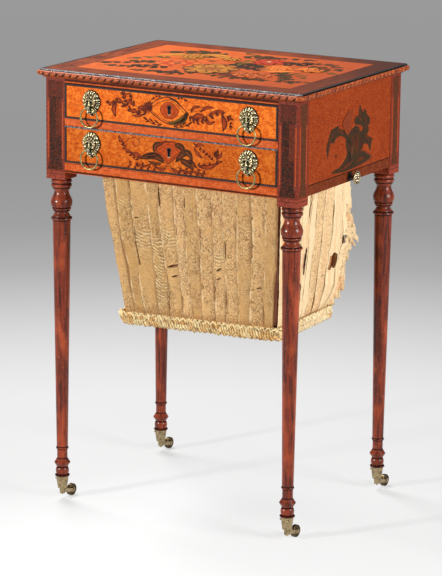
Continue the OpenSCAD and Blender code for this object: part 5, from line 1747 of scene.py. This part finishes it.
def makeSilk(name, sides):
    # one length of cloth in knife pleats, clockwise from above; sides are given clockwise
    form = newForm("tone", "tuck", "arc", "bow", "across", "down", "col", "row")
    perPleat = bag["faceSteps"] + bag["underSteps"]
    pleats = [(side, k, bag["pleats"][side]) for side in sides for k in range(bag["pleats"][side])]
    cols = len(pleats) * perPleat - bag["underSteps"]
    rows = bag["rows"]

    def column(u):
        k = round((1 - u) * cols)
        p, j = divmod(k, perPleat)
        side, number, count = pleats[p]
        if j <= bag["faceSteps"]:
            t = j / bag["faceSteps"]
            spot, depth = t * (1 + bag["lap"]), t
        else:
            t = (j - bag["faceSteps"]) / bag["underSteps"]
            spot, depth = 1 + bag["lap"] * (1 - t), 0.6 * (1 - t)
        return side, number, count, spot, depth, k

    def place(u, v):
        side, number, count, spot, depth, k = column(u)
        share = 1 - v
        held = softStep(0, 0.10, share) * (1 - softStep(0.93, 1, share))
        seed = side * 17 + number * 1.37
        sway = 0.16 * ripple(share * 2.6, seed, 2.5) * held
        uneven = bag["uneven"] * (ripple((number + spot) * 0.8, side * 7.3, 0.5))
        ends = softStep(0, 1, number + spot) * softStep(0, 1, count - number - spot)
        along = min(max(1 - (number + spot + sway + uneven * ends) / count, 0), 1)
        x = k * 2.6
        z = share * bagTall
        fat = 0.6 + 0.4 * held + 0.8 * ripple(share * 3.1, seed, 7.1) * held
        fat *= keenAt(side, number, z)
        out = bag["lie"] + bag["depth"] * depth ** 0.8 * max(fat, 0.25)
        rough = held * (0.5 if side == 1 else 1)
        out += held * (1.7 * ripple(x / 46, z / 60, side + 0.3) + 1.4 * ripple(x / 12, z / 34, side + 4.1))
        out += rough * (0.9 * ripple(x / 7, z / 12, side + 8.7) + 0.4 * ripple(x / 3.5, z / 5, side + 1.7))
        out += 0.3 * held * puckerAt(side, number, spot, z)
        point, _ = bagSpot(side, along, share, max(out, 0.1 + 2 * (1 - held) * 0.05))
        narrow, wide = bag["seamGap"]
        gap = narrow + (wide - narrow) * share ** 1.4
        if side == 0:                              # the front's edge at the open seam curls out
            near = softStep(0.955, 1.0, along)
            point += Vector((-gap * 0.5, -1.8 * share, 0)) * near
        if side == 1:
            near = 1 - softStep(0.0, 0.045, along)
            point += Vector((0.4 * share, gap * 0.55, 0)) * near
        point.z += tiltAt(side, number, spot, z)
        return point + hangingCorner(side, along, share)

    def values(u, v):
        side, number, count, spot, depth, k = column(u)
        z = (1 - v) * bagTall
        keen = (0.3 if side == 1 else 0.5) + 0.7 * keenAt(side, number, z)
        return {
            "tone": 0.5 + 0.75 * ripple(side * 5.1 + number * 1.93, 3.3, 0.2) + (0.75 if side == 1 else 0),
            "tuck": (1 - depth) * min(1, keen),
            "arc": pulledAt(side, number, z),
            "bow": (spot - 0.45) ** 2,
            "across": (k // perPleat) * 35 + (k % perPleat) * 3.3,
            "down": z,
            "col": float(k),
            "row": float(round((1 - v) * rows)),
        }

    addPatch(form, cols, rows, place, values)
    for slit in slits:
        openSlit(form, pleats, perPleat, *slit)
    for gash in gashes:
        openGash(form, pleats, perPleat, *gash)
    cutHoles(form, pleats, perPleat)
    return thicken(settleOnBag(form, name, "silk"), bag["wall"])


def keenAt(side, number, z):                       # how sharply a pleat stands, here and there
    return (0.25 if side == 1 else 0.60) + 1.0 * max(0, ripple(number * 1.7 + side * 5, z / 60, 0.9) + 0.14)


def tiltAt(side, number, spot, z):                 # the threads pull askew round the short slits
    return sum(-7 * (spot - 0.5) * hill(z, 0, share * bagTall, 0, 15, 1)
               for where, pleat, first, last, share, width in gashes if (where, pleat) == (side, number))


def puckerAt(side, number, spot, z):               # folds pulled into arcs across one pleat
    height = 0
    for where, pleat, first, last, pitch, strength in puckers:
        if (side, number) == (where, pleat):
            band = softStep(first, first + 12, z) * (1 - softStep(last - 12, last, z))
            arc = z / pitch + 2.6 * (spot - 0.45) ** 2
            uneven = 0.55 + 1.1 * abs(ripple(z / 13, pleat, 0.3))
            arc += 0.35 * ripple(z / 17, spot * 1.5, pleat)
            height += strength * band * math.sin(2 * math.pi * arc) * (0.65 + 0.35 * spot) * uneven
    return height


def pulledAt(side, number, z):                     # how much of those arcs shows in the cloth
    shown = 0
    for where, pleat, first, last, pitch, strength in puckers:
        if (where, pleat) == (side, number):
            band = softStep(first - 4, first + 14, z) * (1 - softStep(last - 14, last + 4, z))
            shown += 0.6 * strength * band
    return min(1, shown)


def openCloth(form, cut, inside, push):
    # cuts along the edges and pushes both lips of the opening apart
    bmesh.ops.split_edges(form, edges=cut)
    for vert in form.verts:
        share = inside(vert)
        if share and vert.link_faces:
            vert.co += push(vert, share)


def neighbours(vert, layer):                       # mean of a layer over the faces round a point
    found = [other[layer] for face in vert.link_faces for other in face.verts]
    return sum(found) / len(found)


def findPleat(pleats, side, number):
    return next((p for p, (where, k, count) in enumerate(pleats) if (where, k) == (side, number)), None)


def openSlit(form, pleats, perPleat, side, number, step, high, low, width):
    col, row = form.verts.layers.float["col"], form.verts.layers.float["row"]
    p = findPleat(pleats, side, number)
    if p is None:
        return
    line = p * perPleat + step
    first, last = round(high * bag["rows"]), round(low * bag["rows"])
    _, away = bagSpot(side, 0.5, 0.5, 0)
    along = Vector((-away.y, away.x, 0))

    def inside(vert):
        if vert[col] != line or not first < vert[row] < last:
            return 0
        return math.sin(math.pi * (vert[row] - first) / (last - first))

    def push(vert, share):
        way = 1 if neighbours(vert, col) > line else -1
        ragged = 1 + 0.5 * ripple(vert[row] * 0.35, line, way)
        curl = 1.3 * share * (1 + 0.6 * ripple(vert[row] * 0.5, way, 1))
        return Vector((*away, 0)) * curl - along * way * width * 0.5 * share * ragged

    openCloth(form, [edge for edge in form.edges
                     if all(vert[col] == line and first <= vert[row] <= last for vert in edge.verts)],
              inside, push)


def openGash(form, pleats, perPleat, side, number, left, right, share, width):
    col, row = form.verts.layers.float["col"], form.verts.layers.float["row"]
    p = findPleat(pleats, side, number)
    if p is None:
        return
    line = round(share * bag["rows"])
    first, last = p * perPleat + left, p * perPleat + right
    _, away = bagSpot(side, 0.5, 0.5, 0)

    def inside(vert):
        if vert[row] != line or not first < vert[col] < last:
            return 0
        return math.sin(math.pi * (vert[col] - first) / (last - first))

    def push(vert, share):
        way = 1 if neighbours(vert, row) > line else -1
        return Vector((*away, 0)) * 0.7 * share + Vector((0, 0, -way * width * 0.5 * share))

    openCloth(form, [edge for edge in form.edges
                     if all(vert[row] == line and first <= vert[col] <= last for vert in edge.verts)],
              inside, push)


def cutHoles(form, pleats, perPleat):
    col, row = form.verts.layers.float["col"], form.verts.layers.float["row"]
    gone = []
    for face in form.faces:
        k = sum(vert[col] for vert in face.verts) / 4
        share = sum(vert[row] for vert in face.verts) / 4 / bag["rows"]
        side, number, count = pleats[min(int(k / perPleat), len(pleats) - 1)]
        along = 1 - (number + (k % perPleat) / perPleat) / count
        tatter = 0.972 + 0.03 * ripple(share * 21, 4.4, side) + 0.02 * ripple(share * 60, 1.4, side)
        torn = side == 1 and 0.3 < share < 0.95 and along > tatter
        for where, middle, height, wide, tall in holes:
            rag = 0.75 * ripple(along * 55, share * 26, where)
            near = ((along - middle) / wide) ** 2 + ((share - height) / tall) ** 2
            torn = torn or (where == side and near < 0.8 + rag)
        if torn:
            gone.append(face)
    bmesh.ops.delete(form, geom=gone, context="FACES")
    loose = [vert for vert in form.verts if not vert.link_faces]
    bmesh.ops.delete(form, geom=loose, context="VERTS")
    edge = [vert for vert in form.verts if vert.is_boundary and 4 < vert[row] < bag["rows"] - 4]
    for _ in range(2):                             # rounds the steps of the grid off
        bmesh.ops.smooth_vert(form, verts=edge, factor=0.5,
                              use_axis_x=True, use_axis_y=True, use_axis_z=True)
    for vert in edge:
        curl = 0.5 + ripple(vert.co.z / 7, vert.co.y / 9, 0.2)
        vert.co += vert.normal * 1.6 * curl


def makeShreds():
    # strips of silk at the torn corner
    form = newForm("tone", "tuck", "across", "down")
    for k, (share, reach, wide, lean) in enumerate(shreds):
        root, away = bagSpot(1, 0.93, share, 2)
        root += hangingCorner(1, 0.93, share)
        lean = Vector((0.75 + 0.2 * ripple(k, 7.7, 0), 0.65 + 0.3 * ripple(k, 9.7, 0), lean))
        path = smoothPath([root - away.to_3d() * 1.0 - lean * 4, root + lean * reach * 0.5,
                           root + lean * reach * 0.9 - Vector((0, 0, 0.25 * reach))], 5)

        def place(u, v):
            spot, along = alongPath(path, u)
            turn = 0.5 * ripple(k, u * 2, 3.1)
            across = Vector((math.sin(turn) * 0.5, -math.sin(turn) * 0.3, math.cos(turn)))
            ragged = 1.3 - 0.5 * u ** 3 + 0.5 * u * ripple(k * 3, u * 3, round(v * 4) * 0.6)
            crumple = Vector((0.5, -0.8, 0)) * 1.6 * ripple(u * 4, v * 3, k)
            return spot + across * wide * (v - 0.5) * ragged + crumple

        addPatch(form, 14, 4, place, lambda u, v: {
            "tone": 1.15, "tuck": 0.3, "across": u * reach + k * 20, "down": v * wide})
    return thicken(settleOnBag(form, "silk_shreds", "silk"), 0.3, 0)


def makeLining():
    form = newForm()

    def place(u, v):
        side, along = divmod(u * 4, 1)
        if side == 4:
            side, along = 0, 0.0
        point, _ = bagSpot(int(side), along, 0.012 + 0.955 * (1 - v), -1.5)
        return point

    addPatch(form, 4 * 24, 24, place)
    bmesh.ops.remove_doubles(form, verts=form.verts, dist=0.01)
    return thicken(settleOnBag(form, "bag_lining", "lining"), 0.5)


braid = {
    "half": (147.1, 95.4),
    "corner": 4,
    "thick": 8,
    "low": 309.4,
    "high": 332,
    "knot": (5.0, 5.6),     # width and height of one knot of the netted body
    "scallop": 9.5,
    "zigzag": 11.5,
    "cord": 1.25,
}


def braidSpot(length, out, level):
    spot, away = outlineSpot(*braid["half"], braid["corner"], length)
    return Vector((*(spot + away * out), level + sagAt(spot.x, spot.y, 1)))


def makeBraid():
    form = newForm("tone", "tuck")
    total = around(*braid["half"], braid["corner"])
    knots = round(total / braid["knot"][0])
    scallops = round(total / braid["scallop"])
    middle = (braid["low"] + braid["high"]) / 2
    tall = (braid["high"] - braid["low"]) / 2

    def knot(u, v):                                # crossing slanted folds, 0 in the gaps between them
        level = tall * math.sin(2 * math.pi * v) / braid["knot"][1]
        wander = 0.45 * ripple(u * 170, v * 4.2, 0.4)
        first = abs(math.sin(math.pi * (u * knots + level * 0.5 + wander)))
        second = abs(math.sin(math.pi * (u * knots - level * 0.9 + wander + 0.3)))
        return (first * (0.35 + 0.65 * second)) ** 0.7

    def place(u, v):
        angle = 2 * math.pi * v
        side = squarer(math.cos(angle), 0.55)
        rise = squarer(math.sin(angle), 0.75)
        outer = max(0, math.cos(angle)) ** 0.5
        spot = braidSpot(u * total, 0, middle)
        worn = hill(spot.x, spot.y, *braid["half"], 34, 34)
        out = braid["thick"] / 2 * (1 + side) * (1 - 0.5 * worn)
        out -= outer * 2.0 * (1 - knot(u, v))
        out += outer * (1.2 * ripple(u * 60, v * 4, 1.4) + 1.3 * ripple(u * 19, v * 2, 3.9))
        level = middle + tall * rise
        out += worn * outer * 2.2 * ripple(u * 330, v * 9, 0.3)
        if rise < 0:
            lobe = abs(math.sin(math.pi * (u * scallops + 0.4 * ripple(u * 60, 0.1, 0.2))))
            level += -rise * (2.6 * (1 - lobe) + 1.2 * ripple(u * 150, 0.3, 0.9))
        point = braidSpot(u * total, max(out, 0), level + 0.9 * ripple(u * 24, 2.2, 0.1))
        point.x += 8 * softStep(112, 148, -spot.x) * softStep(326, braid["low"], level)
        return point

    addPatch(form, knots * 8, 34, place, lambda u, v: {
        "tone": 0.5 + 0.7 * ripple(u * 90, v * 3, 5.5),
        "tuck": (1 - knot(u, v)) ** 1.5})
    ring = settleOnBag(form, "ruched_braid", "braid", 0.01, True)
    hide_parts("bag_braid")
    return ring


def makeZigzag():                                  # a cord laid to and fro along the braid's upper edge
    form = newForm("tone", "tuck")
    total = around(*braid["half"], braid["corner"])
    turns = round(total / braid["zigzag"])

    def spine(u):
        swing = math.asin(0.93 * math.sin(2 * math.pi * u * turns)) / 1.1
        swing += 0.25 * ripple(u * 200, 0.4, 0.4)
        level = braid["high"] - 2.6 + 2.2 * swing
        spot = braidSpot(u * total, 0, level)
        worn = hill(spot.x, spot.y, *braid["half"], 34, 34)
        return braidSpot(u * total, 6.9 + 0.5 * ripple(u * 70, 0.6, 0) - 3.8 * worn, level)

    def gimp(u, v):
        ahead = (spine(u + 0.0002) - spine(u - 0.0002)).normalized()
        first = ahead.cross(Vector((0, 0, 1))).normalized()
        second = ahead.cross(first)
        angle = 2 * math.pi * v
        return spine(u) + (first * math.cos(angle) + second * math.sin(angle)) * braid["cord"]

    addPatch(form, turns * 10, 6, gimp, lambda u, v: {"tone": 1.1, "tuck": 0.0})
    return settleOnBag(form, "braid_zigzag", "braid", 0.01, True)


def makeBag():
    wrap = makeSilk("silk_wrap", (0, 3, 2))
    right = makeSilk("silk_right_panel", (1,))
    shreds = makeShreds()
    lining = makeLining()
    ring = makeBraid()
    cord = makeZigzag()
    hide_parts("bag_silk")


makeBag()
print("silk bag made")

print("all pieces made")
